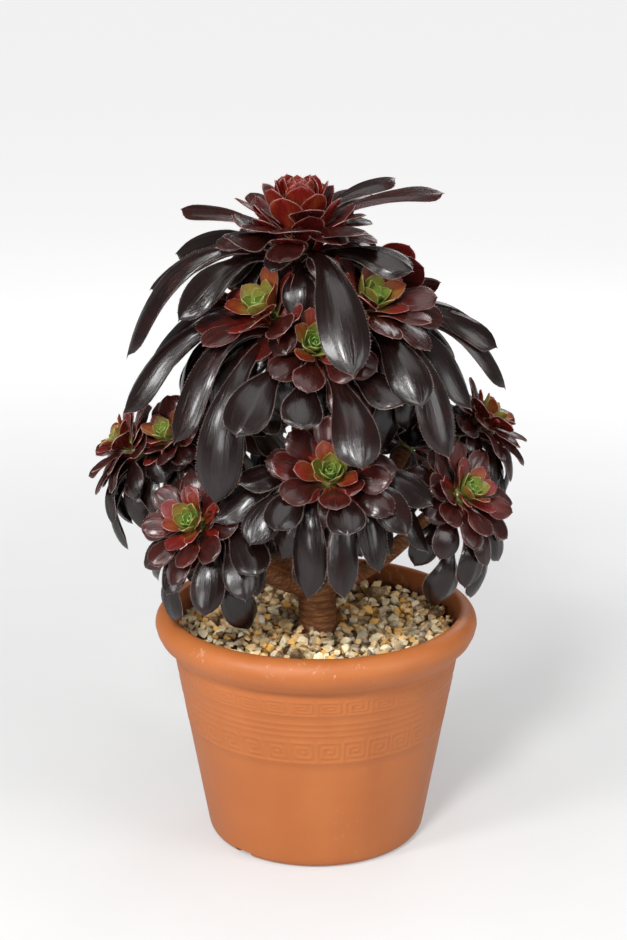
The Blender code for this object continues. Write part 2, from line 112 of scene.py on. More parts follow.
FOOT_RING_INNER_RADIUS = 53.0
FOOT_ROUNDING = (6.2, 7.5)
FOOT_ARC = (-10, -90, 8)
FOOT_DEPTH = 4.0
FLOOR_TOP = 7.0
FLOOR_COVE = (3.0, 4.0)
RECESS_SLOPE = 1.0
CENTRE_PAD_RADIUS = 20.0
NOTCH_COUNT = 3
NOTCH_BEARING = -42.0
NOTCH_REACH = 61.5
NOTCH_SIZE = (12.5, 22.0, 8.0)
DRAIN_RADIUS = 4.5
DRAIN_REACH = 38.0
DRAIN_CUTTER_LENGTH = 40.0
DRAIN_SIDES = 32
POT_EDGE_ANGLE = 42  # edges sharper than this stay crisp, in degrees

# The soil stain inside the rim: where it begins and ends, as radii and heights in millimetres.
STAIN_REACH = (89.6, 88.8)
STAIN_FOOT = (126.0, 127.0)
STAIN_TOP = (147.0, 134.0)

# Relief on the wall: one unit of the meander, top row first, and where its bands and ribs are.
MEANDER = (
    "#########.",
    "#.......#.",
    "#.#####.#.",
    "#.#...#.#.",
    "#.#.###.#.",
    "#.#.....#.",
    "#.#######.",
    "#.........",
    "##########",
)
MEANDER_UNITS = 33
MEANDER_BANDS = ((76.0, 91.5), (109.0, 119.0))
MEANDER_SLOPE = 0.28
RIB_HEIGHTS = (95.5, 99.5, 103.5)
RIB_HALF_HEIGHT = 1.3
RIB_RINGS = (-1, -0.6, -0.2, 0.2, 0.6, 1)  # where a rib has rings, in half heights from its middle

# Grit: millimetres, and shares of a stone's size where the name says so.
GRIT_LAYER = 6.4  # depth of loose stones
GRIT_CELL = 1.0
GRIT_CELL_MARGIN = 6
GRIT_PILE_LIMIT = 3.2
STEM_HOLE_RADIUS = 12.6
STEM_OFFSET = 1.0
STONE_SHAPES = 20
STONE_CORNERS = 15
STONE_CORNER_REACH = (0.40, 0.52)
STONE_FLATNESS = (0.5, 0.85)
STONE_LENGTH = (1.0, 1.3)
STONE_BREADTH = (0.75, 1.0)
STONE_DEPTH = 1.15
STONE_TILT = 0.5
SMALL_STONE_BIAS = 1.5  # a higher power makes more of the stones small
DROP_TRIES = 4
LEVEL_WEIGHTS = (0.6, 0.4)  # how much the mean and the highest level under a stone count
REACH_SHARE = 0.46
EDGE_SHARE = 0.5
HALF_SHARE = 0.4
REST_SHARE = 0.40
DOME_SHARE = 0.45
GRIT_BASE_SIDES = 96
STONE_EDGE_ANGLE = 34
BIG_STONE = (143, 66, 1.5, 15, 0.62)  # bearing, reach, rise over the grit, size and flatness
BIG_STONE_TONE = 0.03
BASE_TONE = 0.02

# Main stem: centre line points and radii in millimetres, from its buried end upwards.
STEM_LINE = (
    ((1, 0, 80), 10.0),
    ((1, 0, 120), 12.4),
    ((1, 0, 140), 12.0),
    ((0, 1, 165), 11.6),
    ((-2, 2, 200), 10.2),
    ((-6, 2, 250), 8.6),
    ((-9, 1, 300), 7.4),
    ((-10, 0, 345), 6.2),
)
CORE_RING = 3.4
LEADER_CORE_RINGS = 9
SIDE_CORE_RINGS = 6
CORE_TAPER = 0.9
CORE_SIDES = 24
CORE_MARKS = {"age": 0.5, "tone": 0.5, "margin": 5.0, "along": 0.1}
FIT_GAP = 0.35

# Rings of bark, then the trunk and the branches: millimetres, counts and shares. A taper is the
# first radius and what is added along the length.
RING_WOBBLE = 0.45
RING_RISE = 0.25  # share of a ring's height over which it rises
RING_LEVEL = 0.6  # share of a ring's ridge that stands above the plain radius
RING_WAVES = 4
WAVE_TURNS = (1, 2, 3)
WAVE_SIZES = (0.3, 1.0)
TRUNK_SIDES = 40
TRUNK_STEPS = 200
TRUNK_RING = 4.6
LIMB_SIDES = 20
LIMB_POINTS = 16
LIMB_STEPS = 70
LIMB_RING = 3.1
LIMB_RIDGE = 0.6  # share of the trunk's ridges
LIMB_SWELL = 0.2
LIMB_TAPER = (1.08, -0.14)
LIMB_ROOT = 0.5  # where a branch starts, in stem radii from the stem's middle
LIMB_RISE = 0.25
LIMB_TENSION = 0.38

# Rosettes: bearing and tilt of the axis (degrees), height where its branch leaves the main stem
# (mm), the branch's radius (mm) and the length of a mature leaf (mm).
ROSETTES = {
    "leader": (0, 6, None, 6.0, 74),
    "upper_left": (-50, 40, 296, 4.4, 76),
    "upper_front": (5, 55, 282, 4.4, 62),
    "upper_right": (50, 40, 306, 4.4, 74),
    "upper_back_left": (-140, 45, 290, 4.4, 88),
    "upper_back_right": (140, 45, 301, 4.4, 88),
    "front": (0, 46, 176, 5.4, 60),
    "front_left": (-36, 56, 160, 5.2, 54),
    "front_right": (50, 52, 162, 5.2, 52),
    "side_left": (-86, 50, 172, 5.2, 46),
    "inner_left": (-50, 40, 189, 4.8, 46),
    "side_right": (92, 46, 181, 5.2, 48),
    "back_left": (-135, 46, 164, 5.2, 60),
    "back": (180, 48, 180, 5.4, 62),
    "back_right": (135, 46, 166, 5.2, 60),
}

# Leaves whose place is set one by one: bearing and reach of the tip from the crown, its rise
# above the crown, the blade's width (mm) and the angle above level at which the leaf sets out.
PLACED_LEAVES = {
    "leader": (
        (-86, 109, -60, 27, 30),
        (-99, 94, -28, 24, 25),
        (-64, 77, -35, 25, 28),
        (-105, 70, 18, 20, 30),
        (-42, 57, 10, 21, 25),
        (-124, 90, -12, 24, 30),
        (-5, 52, 18, 27, 38),
        (36, 60, 14, 25, 40),
        (66, 70, -6, 25, 32),
        (105, 85, 26, 22, 46),
        (120, 64, 38, 20, 48),
        (143, 72, 24, 24, 46),
        (20, 86, -59, 29, 40),
    ),
    "upper_left": (
        (-86, 92, -53, 24, 26),
        (-110, 94, -40, 22, 32),
        (-56, 73, -62, 24, 25),
        (-30, 77, -92, 28, 5),
    ),
    "upper_front": (
        (-36, 70, -34, 27, 10),
        (-6, 58, -26, 24, -5),
        (22, 72, -50, 27, 5),
        (52, 62, -20, 24, 0),
    ),
    "upper_right": (
        (32, 66, -40, 25, 20),
        (72, 68, -52, 24, 25),
        (46, 77, -77, 25, 22),
        (95, 85, -16, 20, 22),
        (111, 78, -8, 20, 25),
        (96, 94, -42, 20, 25),
    ),
    "front": (
        (-22, 38, -60, 22, 25),
        (12, 38, -58, 19, 25),
        (44, 42, -44, 21, 25),
        (72, 46, -50, 21, 22),
        (90, 56, -42, 21, 25),
        (56, 52, -20, 21, 30),
        (84, 58, -10, 20, 35),
        (-34, 54, -12, 21, 30),
        (-74, 52, 5, 21, 40),
        (-82, 66, -20, 23, 30),
        (-54, 56, -24, 21, 20),
        (10, 54, -10, 22, 25),
    ),
    "front_left": (
        (-44, 30, -34, 18, 0),
        (2, 42, -40, 20, 15),
        (28, 54, -26, 21, 20),
        (44, 58, -38, 21, 25),
        (30, 62, -8, 22, 30),
    ),
}
PLACED_REACH = 1.05  # every reach above is made this much longer

# A placed leaf whose tip rises more than this is a younger, redder one. Where its root is along the
# core in core lengths, how far its blade rolls to the side, and the ranges of its age and its curl.
RAISED_LEAF = 8
PLACED_HABITS = {
    True: {"root": 0.15, "roll": 0.3, "age": (0.78, 0.86), "curl": (-0.3, 0.1)},
    False: {"root": -0.3, "roll": 0.75, "age": (0.88, 1.0), "curl": (0.0, 0.45)},
}

# The blade's outline. Shares of its length; pairs are a grown leaf's value and what youth adds.
YOUTH_AGE = 0.62  # leaves younger than this are plumper and less spoon-shaped
YOUTH_SPAN = 0.4
NECK = (0.25, 0.30)  # width of the narrow base, as a share of the widest
NECK_END = (0.22, -0.12)
SHOULDER_POWER = (1.4, -0.4)
END_POWER = (2.6, -0.8)
END_ROUNDING = (0.5, 0.12)
ROUND_END = 0.56  # length of the rounded end, in widths
ROUND_END_LIMITS = (0.14, 0.36)
CURL_START = 0.5  # where the blade starts to curl under
ROOT_END = 0.05  # the blade grows to its full thickness within this
BLADE_END = 0.975  # beyond it is the small point at the tip
POINT_HALF = 0.8  # half width of the small point where it starts, in millimetres
BLADE_THICKNESS = (1.15, -0.55)  # at the root, and what is added towards the tip
LEAF_GRID = (20, 18)  # faces round a leaf and along it
BUD_GRID = (12, 10)
GRID_CROWDING = 1.45  # a higher power crowds the faces towards the rounded end

# How a blade bends: pairs are the youngest leaf's value and what age adds.
KNEE = (0.44, 0.12)
YOUNG_SCALE = (0.55, 0.45)  # thickness and bristles, as shares of a mature leaf's
CUP = (0.55, -0.95)
CUP_CHANCE = 0.12
FOLD = (0.15, 1.15)
FOLD_CHANCE = (0.4, 1.0)
FOLD_COUNTS = (2.2, 2.8, 3.4)
WAVE = (0.2, 0.9)
WAVE_CHANCE = (0.2, 1.0)
WAVE_COUNT = 11
FOLDS_START = 0.35  # the folds grow to their full depth within this share of the length
FOLDS_END = 0.9  # and fade out beyond this
TWIST = 14

# Bristles: millimetres, and shares of a leaf's length.
BRISTLE_SPACING = 1.25
BRISTLE_SPAN = (0.14, 0.97)
BRISTLE_ROOT = 0.12
BRISTLE_RADII = (0.17, 0.03)
BRISTLE_SIZES = (0.6, 1.15)
BRISTLE_STEPS = (0.7, 1.3)
BRISTLE_LEANS = (0.1, 0.75)
BRISTLE_LIFTS = (-0.25, 0.45)
BRISTLE_FACE = 0.5
AHEAD = 0.01  # how far on a second point is taken, to find which way the margin runs

# How a mature leaf of the spiral stands: pairs are the youngest leaf's value and what age adds.
# Angles from the axis in degrees, sizes in mature lengths, heights in core lengths.
SPROUT = {
    "height": (0.2, -0.6), "spread": (52, 46), "set_out": (38, 34), "size": (0.66, 0.34), "age": (0.64, 0.36),
}
SPROUT_CURL = (0.5, 1.5)
SPROUT_REACH = 0.9
SPROUT_DROOP = 0.42
SPROUT_WIDTH = (7, 0.26)  # millimetres, and what each millimetre of length adds
SPROUT_TURN_CHANCE = 8
MATURE_ROOT = 0.7  # where leaves leave the core, in stem radii from its middle
INNER_ROOT = 0.55
HEART_ROOT = (0.1, 0.5)

# How the young leaves stand: the leader's first, then the side rosettes'. Each pair is the youngest
# leaf's value and what age adds to it: spread from the axis in degrees, sizes in mature lengths,
# heights along the core in core lengths, widths in the leaf's own lengths.
HABITS = {
    True: {
        "inner_count": 24, "inner_spread": (13, 38), "inner_size": (0.52, 0.12),
        "inner_height": (0.18, -0.50), "inner_width": 0.44, "inner_age": (0.44, 0.25),
        "heart_spread": (5, 11), "heart_size": (0.48, 0.04),
        "heart_height": 0.22, "heart_width": 0.42, "heart_age": (0.37, 0.08),
    },
    False: {
        "inner_count": 12, "inner_spread": (34, 42), "inner_size": (0.34, 0.16),
        "inner_height": (0.50, -0.40), "inner_width": 0.48, "inner_age": (0.33, 0.27),
        "heart_spread": (2, 36), "heart_size": (0.12, 0.20),
        "heart_height": 0.50, "heart_width": 0.62, "heart_age": (0.0, 0.21),
    },
}
SPROUT_COUNT = 34
SPROUTS_BESIDE_PLACED = 30
HEART_COUNT = 13
FIRST_INNER = 40  # where on the spiral the inner leaves start
FIRST_HEART = 60
INNER_TURN_CHANCE = 6
INNER_SPREAD_CHANCE = 4
INNER_SIZE_CHANCE = (0.94, 1.06)
INNER_SET_OUT = 0.85  # share of the spread at which an inner leaf sets out
HEART_SPREADS = (1.3, 0.7)  # the same of a heart leaf, and the share at which it ends
LEAST_INNER_WIDTH = 1
BUD_AGE = 0.6  # heart leaves younger than this share of the heart have fewer faces

# The space that other leaves leave over a heart, in millimetres.
LIGHT_START = 14
LIGHT_DEPTH = 44
LIGHT_RADII = (9, 17)
LIGHT_SIDES = 12

GOLDEN_ANGLE = 137.5
LEAF_CLEARANCE = 0.15 * MM
LOWEST_LEAF = 149.5 * MM
# Rough cross-sections of a leaf: shares of its length, its half width and its half thickness.
CLEARANCE_STATIONS = (
    (0.32, 0.34, 0.9),
    (0.55, 0.6, 0.9),
    (0.78, 0.95, 0.8),
    (0.94, 0.7, 0.6),
    (1.0, 0.15, 0.5),
)
# What a leaf tries, in this order, until it is clear of the others: degrees, and shares of its reach.
PLACE_LIFTS = (0, 8, -8, 16, -16, 26, -26)
PLACE_TURNS = (0, 12, -12, 24, -24)
PLACE_SHARES = (1.0, 0.95, 0.88, 0.8)
SPROUT_TURNS = (0, 10, -10, 20, -20, 32, -32, 45, -45)
SPROUT_OPENINGS = (0, 9, -9, 18, -18)
SPROUT_SHARES = (1.0, 0.88, 0.74, 0.6)

# Colours that stay the same whatever the settings are.
WHITE_STONE = (0.90, 0.86, 0.76)
BARK_FLAKE = (0.40, 0.22, 0.10)
DUST = (0.42, 0.36, 0.32)

# Stage: where each soft box is, what it points at and the length of its side, in metres.
PLANT_MIDDLE = (0, 0, 0.25)
POT_MIDDLE = (0, 0, 0.14)
SOFT_BOXES = {
    "top": ((0.1, -0.15, 1.5), PLANT_MIDDLE, 1.0),
    "key": ((-1.15, -0.95, 0.95), PLANT_MIDDLE, 0.36),
    "front": ((-0.3, -1.25, 1.3), PLANT_MIDDLE, 0.27),
    "back": ((0.6, 1.3, 1.1), PLANT_MIDDLE, 0.6),
    "low": ((-0.55, -1.25, 0.5), POT_MIDDLE, 0.3),
    "fill": ((1.2, -0.8, 0.8), PLANT_MIDDLE, 0.7),
}
FLOOR_HALF = 30
GLOW_REACH = (0.1, 1.6)
GLOW_IN_REFLECTIONS = 0.5
CAMERA_PLACE = (0, -1.174, 0.583)
CAMERA_PITCH = 16.5
CAMERA_TURN = 0.08
CAMERA_LENS = 76.596
CAMERA_SENSOR = 36


# ---------------------------------------------------------------- settings


def colour_setting(name, description, default):
    return FloatVectorProperty(
        name=name, description=description, default=default, size=3, min=0, max=1, subtype="COLOR"
    )


def length_setting(name, description, default):
    """A length whose default is given in millimetres."""
    return FloatProperty(name=name, description=description, default=default * MM, unit="LENGTH")


def power_setting(name, description, default):
    return FloatProperty(name=name, description=description, default=default, unit="POWER")


class PotLook(bpy.types.PropertyGroup):
    """Sizes and colours of the moulded pot."""

    relief: length_setting("Relief", "How far the meander stands out", 0.15)
    rib: length_setting("Ribs", "How far the ribs stand out", 0.30)
    body: colour_setting("Body", "Colour of the plastic", (0.455, 0.137, 0.033))
    shade: colour_setting("Shade", "Darker patches of the plastic", (0.41, 0.116, 0.025))
    scuff: colour_setting("Scuffs", "Pale rubbed marks", (0.66, 0.42, 0.29))
    soil: colour_setting("Soil stain", "Stain inside the rim", (0.13, 0.045, 0.018))


class GritLook(bpy.types.PropertyGroup):
    """Sizes and colours of the grit on top of the potting mix."""

    stones: IntProperty(name="Stones", description="How many stones are dropped", default=1560, min=10)
    smallest: length_setting("Smallest", "Size of the smallest stone", 4.6)
    largest: length_setting("Largest", "Size of the largest stone", 9.6)
    cream: colour_setting("Cream", "Pale stones", (0.97, 0.86, 0.58))
    tan: colour_setting("Tan", "Tan stones", (0.84, 0.59, 0.29))
    ochre: colour_setting("Ochre", "Yellow stones", (0.90, 0.50, 0.11))
    grey: colour_setting("Grey", "Grey stones", (0.56, 0.46, 0.33))
    brown: colour_setting("Brown", "Dark stones", (0.16, 0.10, 0.06))


class StemLook(bpy.types.PropertyGroup):
    """Shape and colours of the bare stems."""

    ridge: length_setting("Ridges", "Height of the leaf-scar rings", 0.42)
    old_bark: colour_setting("Old bark", "Bark near the gravel", (0.46, 0.175, 0.060))
    young_bark: colour_setting("Young bark", "Bark near the leaves", (0.20, 0.13, 0.05))
    groove: colour_setting("Grooves", "Colour between the rings", (0.20, 0.072, 0.026))


class LeafLook(bpy.types.PropertyGroup):
    """Shape and colours of the leaves."""

    thickness: length_setting("Thickness", "Thickness of a mature leaf", 2.4)
    bristle: length_setting("Bristles", "Length of the margin bristles", 0.95)
    heart: colour_setting("Heart", "Youngest leaves", (0.115, 0.33, 0.035))
    olive: colour_setting("Olive", "Leaves round the heart", (0.21, 0.20, 0.035))
    amber: colour_setting("Amber", "Leaves turning red", (0.22, 0.060, 0.014))
    red: colour_setting("Red", "Half-grown leaves", (0.165, 0.010, 0.007))
    maroon: colour_setting("Maroon", "Grown leaves", (0.040, 0.0065, 0.005))
    black: colour_setting("Black", "Oldest leaves", (0.0080, 0.0030, 0.0025))
    young_margin: colour_setting("Young margin", "Margins of the heart", (0.42, 0.56, 0.17))
    red_margin: colour_setting("Red margin", "Margins of the red leaves", (0.60, 0.30, 0.25))
    old_margin: colour_setting("Old margin", "Margins of the dark leaves", (0.46, 0.33, 0.30))


class StageLook(bpy.types.PropertyGroup):
    """The floor and the studio light."""

    floor: colour_setting("Floor", "Colour of the floor", (0.50, 0.50, 0.50))
    near_glow: FloatProperty(name="Near glow", description="Glow of the floor at the pot", default=0.29)
    far_glow: FloatProperty(name="Far glow", description="Glow of the floor far from the pot", default=0.80)
    ambient: FloatProperty(name="Ambient", description="Strength of the light from all round", default=0.15)
    top_power: power_setting("Top box", "Power of the overhead box", 6.0)
    key_power: power_setting("Key box", "Power of the box at the left", 13.0)
    front_power: power_setting("Front box", "Power of the box above the camera", 18.0)
    back_power: power_setting("Back box", "Power of the box behind", 4.0)
    low_power: power_setting("Low box", "Power of the low box at the front", 4.0)
    fill_power: power_setting("Fill box", "Power of the box at the right", 8.5)


SETTINGS = {
    "succulent_pot": PotLook,
    "succulent_grit": GritLook,
    "succulent_stem": StemLook,
    "succulent_leaf": LeafLook,
    "succulent_stage": StageLook,
}


# ---------------------------------------------------------------- small helpers


def toward(bearing):
    angle = math.radians(bearing)
    return Vector((math.sin(angle), -math.cos(angle), 0))


def smooth(value):
    value = min(max(value, 0.0), 1.0)
    return value * value * (3 - 2 * value)


def between(pair, share):
    """A first value plus a share of a second."""
    return pair[0] + pair[1] * share


def across_to(direction, hint):
    """Two directions across a direction: the first as near as can be to the hint."""
    across = (hint - direction * hint.dot(direction)).normalized()
    return across, direction.cross(across)


def arc(centre, radii, start, end, count):
    """Points of an elliptical arc in the profile plane, both ends included."""
    found = []
    for i in range(count + 1):
        angle = math.radians(start + (end - start) * i / count)
        found.append((centre[0] + radii[0] * math.cos(angle), centre[1] + radii[1] * math.sin(angle)))
    return found


def add_piece(name, mesh, material, slot, *nodes):
    """Puts a finished mesh in the scene as a piece that rides on the root body and replaces nodes."""
    made = bpy.data.objects.new(name, mesh)
    bpy.context.scene.collection.objects.link(made)
    mesh.materials.clear()
    mesh.materials.append(material)
    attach(made, "root")
    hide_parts(*nodes)


def smooth_mesh(mesh, sharp=None):
    """Shades a mesh smoothly, with edges sharper than an angle in degrees kept crisp."""
    mesh.shade_smooth()
    if sharp is not None:
        mesh.set_sharp_from_angle(angle=math.radians(sharp))
    return mesh


def to_mesh(bm, name, sharp=None):
    mesh = bpy.data.meshes.new(name)
    bm.to_mesh(mesh)
    bm.free()
    return smooth_mesh(mesh, sharp)


def facing(direction, middle):
    """The place of a cylinder round a middle, with its axis along a direction."""
    return Matrix.Translation(middle) @ direction.to_track_quat("Z", "Y").to_matrix().to_4x4()


def add_cone(bm, segments, radii, depth, matrix):
    """A closed cylinder or cone: its foot and top radius are along -Z and +Z of its matrix."""
    made = bmesh.ops.create_cone(
        bm, cap_ends=True, segments=segments, radius1=radii[0], radius2=radii[1], depth=depth, matrix=matrix
    )
    return made["verts"]


# ---------------------------------------------------------------- shader helpers


def feed(tree, socket, value):
    """Gives a socket a plain value, or links it to the socket that feeds it."""
    if isinstance(value, bpy.types.NodeSocket):
        tree.links.new(value, socket)
    else:
        socket.default_value = value


def node(tree, kind, inputs=(), **settings):
    """Adds a shader node. Each input is a plain value, or the socket that feeds it."""
    made = tree.nodes.new(kind)
    for key, value in settings.items():
        setattr(made, key, value)
    for key, value in dict(inputs).items():
        feed(tree, made.inputs[key], value)
    return made


def opaque(colour):
    """A plain colour with full alpha. A socket stays as it is."""
    return colour if isinstance(colour, bpy.types.NodeSocket) else (*tuple(colour)[:3], 1.0)


def blend(tree, factor, first, second, mode="MIX"):
    """Mixes two colours, each a plain colour or a socket."""
    inputs = {0: factor, 6: opaque(first), 7: opaque(second)}
    return node(tree, "ShaderNodeMix", inputs, data_type="RGBA", blend_type=mode).outputs[2]


def calculate(tree, operation, first, second, clamp=False):
    inputs = {0: first, 1: second}
    return node(tree, "ShaderNodeMath", inputs, operation=operation, use_clamp=clamp).outputs[0]


def times(tree, first, second, clamp=False):
    return calculate(tree, "MULTIPLY", first, second, clamp)


def plus(tree, first, second):
    return calculate(tree, "ADD", first, second)


def minus(tree, first, second):
    return calculate(tree, "SUBTRACT", first, second)


def rescale(tree, value, low, high, new_low=0.0, new_high=1.0):
    """Maps a value from one range to another with soft ends."""
    inputs = {"Value": value, "From Min": low, "From Max": high, "To Min": new_low, "To Max": new_high}
    return node(tree, "ShaderNodeMapRange", inputs, interpolation_type="SMOOTHSTEP").outputs[0]


def soft_step(tree, value, ends):
    """A soft step from 0 to 1 between two lengths in millimetres."""
    return rescale(tree, value, ends[0] * MM, ends[1] * MM)


def ramp(tree, factor, stops, interpolation="LINEAR"):
    """A colour ramp: each stop is a position and a colour."""
    made = node(tree, "ShaderNodeValToRGB", {0: factor})
    made.color_ramp.interpolation = interpolation
    elements = made.color_ramp.elements
    elements[0].position, elements[0].color = stops[0][0], opaque(stops[0][1])
    elements[1].position, elements[1].color = stops[-1][0], opaque(stops[-1][1])
    for position, colour in stops[1:-1]:
        elements.new(position).color = opaque(colour)
    return made.outputs[0]


def noise(tree, vector, scale, detail=3.0, roughness=0.5, offset=None):
    """Soft noise, from 0 to 1. An offset shifts it to another part of the pattern."""
    inputs = {"Vector": vector, "Scale": scale, "Detail": detail, "Roughness": roughness}
    if offset is not None:
        inputs["W"] = offset
    kind = "3D" if offset is None else "4D"
    return node(tree, "ShaderNodeTexNoise", inputs, noise_dimensions=kind).outputs["Fac"]


def attribute(tree, name):
    return node(tree, "ShaderNodeAttribute", attribute_name=name).outputs["Fac"]


def object_place(tree):
    return node(tree, "ShaderNodeTexCoord").outputs["Object"]


def stretch(tree, vector, scale):
    """A vector with each of its axes scaled, which draws a pattern out."""
    return node(tree, "ShaderNodeMapping", {"Vector": vector, "Scale": scale}).outputs[0]


def length_of(tree, vector):
    return node(tree, "ShaderNodeVectorMath", {0: vector}, operation="LENGTH").outputs["Value"]


def grey(tree, value):
    """The grey that is as bright as a value."""
    return node(tree, "ShaderNodeCombineColor", {0: value, 1: value, 2: value}).outputs[0]


def new_group(name, inputs, outputs):
    """A shader node group with named float, vector or colour sockets."""
    made = bpy.data.node_groups.new(name, "ShaderNodeTree")
    for label, kind, default in inputs:
        socket = made.interface.new_socket(name=label, in_out="INPUT", socket_type=kind)
        if default is not None:
            socket.default_value = default
    for label, kind in outputs:
        made.interface.new_socket(name=label, in_out="OUTPUT", socket_type=kind)
    return made, node(made, "NodeGroupInput"), node(made, "NodeGroupOutput")


def grain_group():
    """Fine grain: a shade that varies softly, and a height for bump."""
    inputs = (("Vector", "NodeSocketVector", None), ("Scale", "NodeSocketFloat", 900.0))
    outputs = (("Shade", "NodeSocketFloat"), ("Height", "NodeSocketFloat"))
    group, given, result = new_group("fine_grain", inputs, outputs)
    vector, scale = given.outputs["Vector"], given.outputs["Scale"]
    broad = noise(group, vector, times(group, scale, 0.06), 4.0)
    fine = noise(group, vector, scale, 3.0, 0.6)
    shade = plus(group, times(group, fine, 0.3), times(group, broad, 0.7))
    feed(group, result.inputs["Shade"], shade)
    feed(group, result.inputs["Height"], fine)
    return group


def fleck_group():
    """Sparse flecks, such as rubbed marks or dust, that favour faces turned up."""
    inputs = (
        ("Vector", "NodeSocketVector", None),
        ("Scale", "NodeSocketFloat", 300.0),
        ("Rarity", "NodeSocketFloat", 0.66),
    )
    group, given, result = new_group("flecks", inputs, (("Mask", "NodeSocketFloat"),))
    vector, scale = given.outputs["Vector"], given.outputs["Scale"]
    patches = noise(group, vector, times(group, scale, 0.12), 2.0)
    marks = noise(group, vector, scale, 5.0, 0.72)
    both = plus(group, times(group, marks, 0.62), times(group, patches, 0.38))
    crisp = times(group, minus(group, both, given.outputs["Rarity"]), 22.0, clamp=True)
    normal = node(group, "ShaderNodeNewGeometry").outputs["Normal"]
    rise = node(group, "ShaderNodeSeparateXYZ", {0: normal}).outputs["Z"]
    feed(group, result.inputs["Mask"], times(group, crisp, rescale(group, rise, -0.6, 0.6, 0.35, 1.0)))
    return group


def use_group(tree, name, make, inputs):
    """Adds a shader node group, which is made the first time that it is used."""
    group = bpy.data.node_groups.get(name) or make()
    return node(tree, "ShaderNodeGroup", inputs, node_tree=group).outputs


def fine_grain(tree, place, scale):
    """Shade and height of fine grain."""
    outputs = use_group(tree, "fine_grain", grain_group, {"Vector": place, "Scale": scale})
    return outputs["Shade"], outputs["Height"]


def flecks(tree, place, scale, rarity):
    """Mask of sparse flecks."""
    inputs = {"Vector": place, "Scale": scale, "Rarity": rarity}
    return use_group(tree, "flecks", fleck_group, inputs)["Mask"]


def new_material(name, **values):
    """A material whose shader has the given plain values. Returns it, its tree and its shader."""
    made = bpy.data.materials.new(name)
    made.use_nodes = True
    shader = made.node_tree.nodes["Principled BSDF"]
    for key, value in values.items():
        shader.inputs[key.replace("_", " ").title().replace("Ior", "IOR")].default_value = value
    return made, made.node_tree, shader


def finish_shader(tree, shader, colour, roughness, height, distance, strength=1.0):
    """Gives a shader its colour and roughness, and bumps of a height in millimetres."""
    inputs = {"Height": height, "Distance": distance * MM, "Strength": strength}
    bumps = node(tree, "ShaderNodeBump", inputs).outputs[0]
    for key, value in (("Base Color", colour), ("Roughness", roughness), ("Normal", bumps)):
        feed(tree, shader.inputs[key], value)


# ---------------------------------------------------------------- pot


def wall_inside(height):
    """Inner radius of the pot's wall at a height, in millimetres."""
    share = (height - FOOT_HEIGHT) / (RIM_LIP_HEIGHT - FOOT_HEIGHT)
    return BODY_FOOT_RADIUS + (BODY_TOP_RADIUS - BODY_FOOT_RADIUS) * share - WALL


def wall_heights():
    """Heights of the rings on the outer wall, top first, so that each meander row has its own."""
    heights = []
    for low, high in MEANDER_BANDS:
        rows = len(MEANDER)
        heights += [low + (high - low) * i / rows for i in range(rows + 1)]
    for middle in RIB_HEIGHTS:
        heights += [middle + RIB_HALF_HEIGHT * share for share in RIB_RINGS]
    heights += OUTER_RINGS
    return sorted(heights, reverse=True)


def wall_point(height, rib):
    """A point of the outer wall, with the ribs standing out from it."""
    radius = wall_inside(height) + WALL
    for middle in RIB_HEIGHTS:
        share = abs(height - middle) / RIB_HALF_HEIGHT
        radius += rib / MM * (1 - smooth(share))
    return radius, height


def pot_profile(look):
    """Half section of the pot in millimetres, from the inside of its floor over the rim and down."""
    inner_crest = RIM_CREST_RADIUS - RIM_CREST_WIDTH
    height, widest = POT_HEIGHT / MM, RIM_RADIUS / MM
    cove = FLOOR_TOP + FLOOR_COVE[1]
    profile = [(0, FLOOR_TOP), (wall_inside(FLOOR_TOP) - FLOOR_COVE[0], FLOOR_TOP), (wall_inside(cove), cove)]
    profile += [(wall_inside(z), z) for z in INNER_RINGS]
    profile += [(inner_crest - INNER_TUCK[0], RIM_LIP_HEIGHT + INNER_TUCK[1])]
    profile += [(inner_crest, height - CREST_DROP)]
    crest = (inner_crest + CREST_ROUNDING, height - CREST_ROUNDING)
    profile += arc(crest, (CREST_ROUNDING, CREST_ROUNDING), *CREST_ARC)
    roll = (widest - RIM_CREST_RADIUS, height - RIM_SHOULDER)
    profile += arc((RIM_CREST_RADIUS, RIM_SHOULDER), roll, *RIM_ROLL_ARC)
    profile += [(widest - inwards, RIM_SHOULDER - down) for inwards, down in RIM_TUCKS]
    lip = RIM_LIP_RADIUS + LIP_STEP
    profile += [(lip + out, RIM_LIP_HEIGHT + up) for out, up in LIP_EDGE]
    profile += [(BODY_TOP_RADIUS + out, RIM_LIP_HEIGHT + up) for out, up in LIP_ROOT]
    profile += [wall_point(z, look.rib) for z in wall_heights()]
    profile += [(BODY_FOOT_RADIUS, FOOT_HEIGHT)]
    profile += arc((FOOT_RING_RADIUS, FOOT_ROUNDING[1]), FOOT_ROUNDING, *FOOT_ARC)
    profile += [(FOOT_RING_INNER_RADIUS, 0), (FOOT_RING_INNER_RADIUS - RECESS_SLOPE, FOOT_DEPTH)]
    profile += [(CENTRE_PAD_RADIUS + RECESS_SLOPE, FOOT_DEPTH), (CENTRE_PAD_RADIUS, 0), (0, 0)]
    return profile


def is_raised(face, steps):
    """True where a face of the outer wall belongs to the meander."""
    middle = face.calc_center_median()
    height = middle.z / MM
    radius = math.hypot(middle.x, middle.y) / MM
    if radius < wall_inside(height) + WALL / 2:
        return False
    column = int((math.atan2(middle.x, -middle.y) % math.tau) / math.tau * steps)
    for low, high in MEANDER_BANDS:
        if low < height < high:
            row = int((high - height) / (high - low) * len(MEANDER))
            return MEANDER[row][column % len(MEANDER[0])] == "#"
    return False


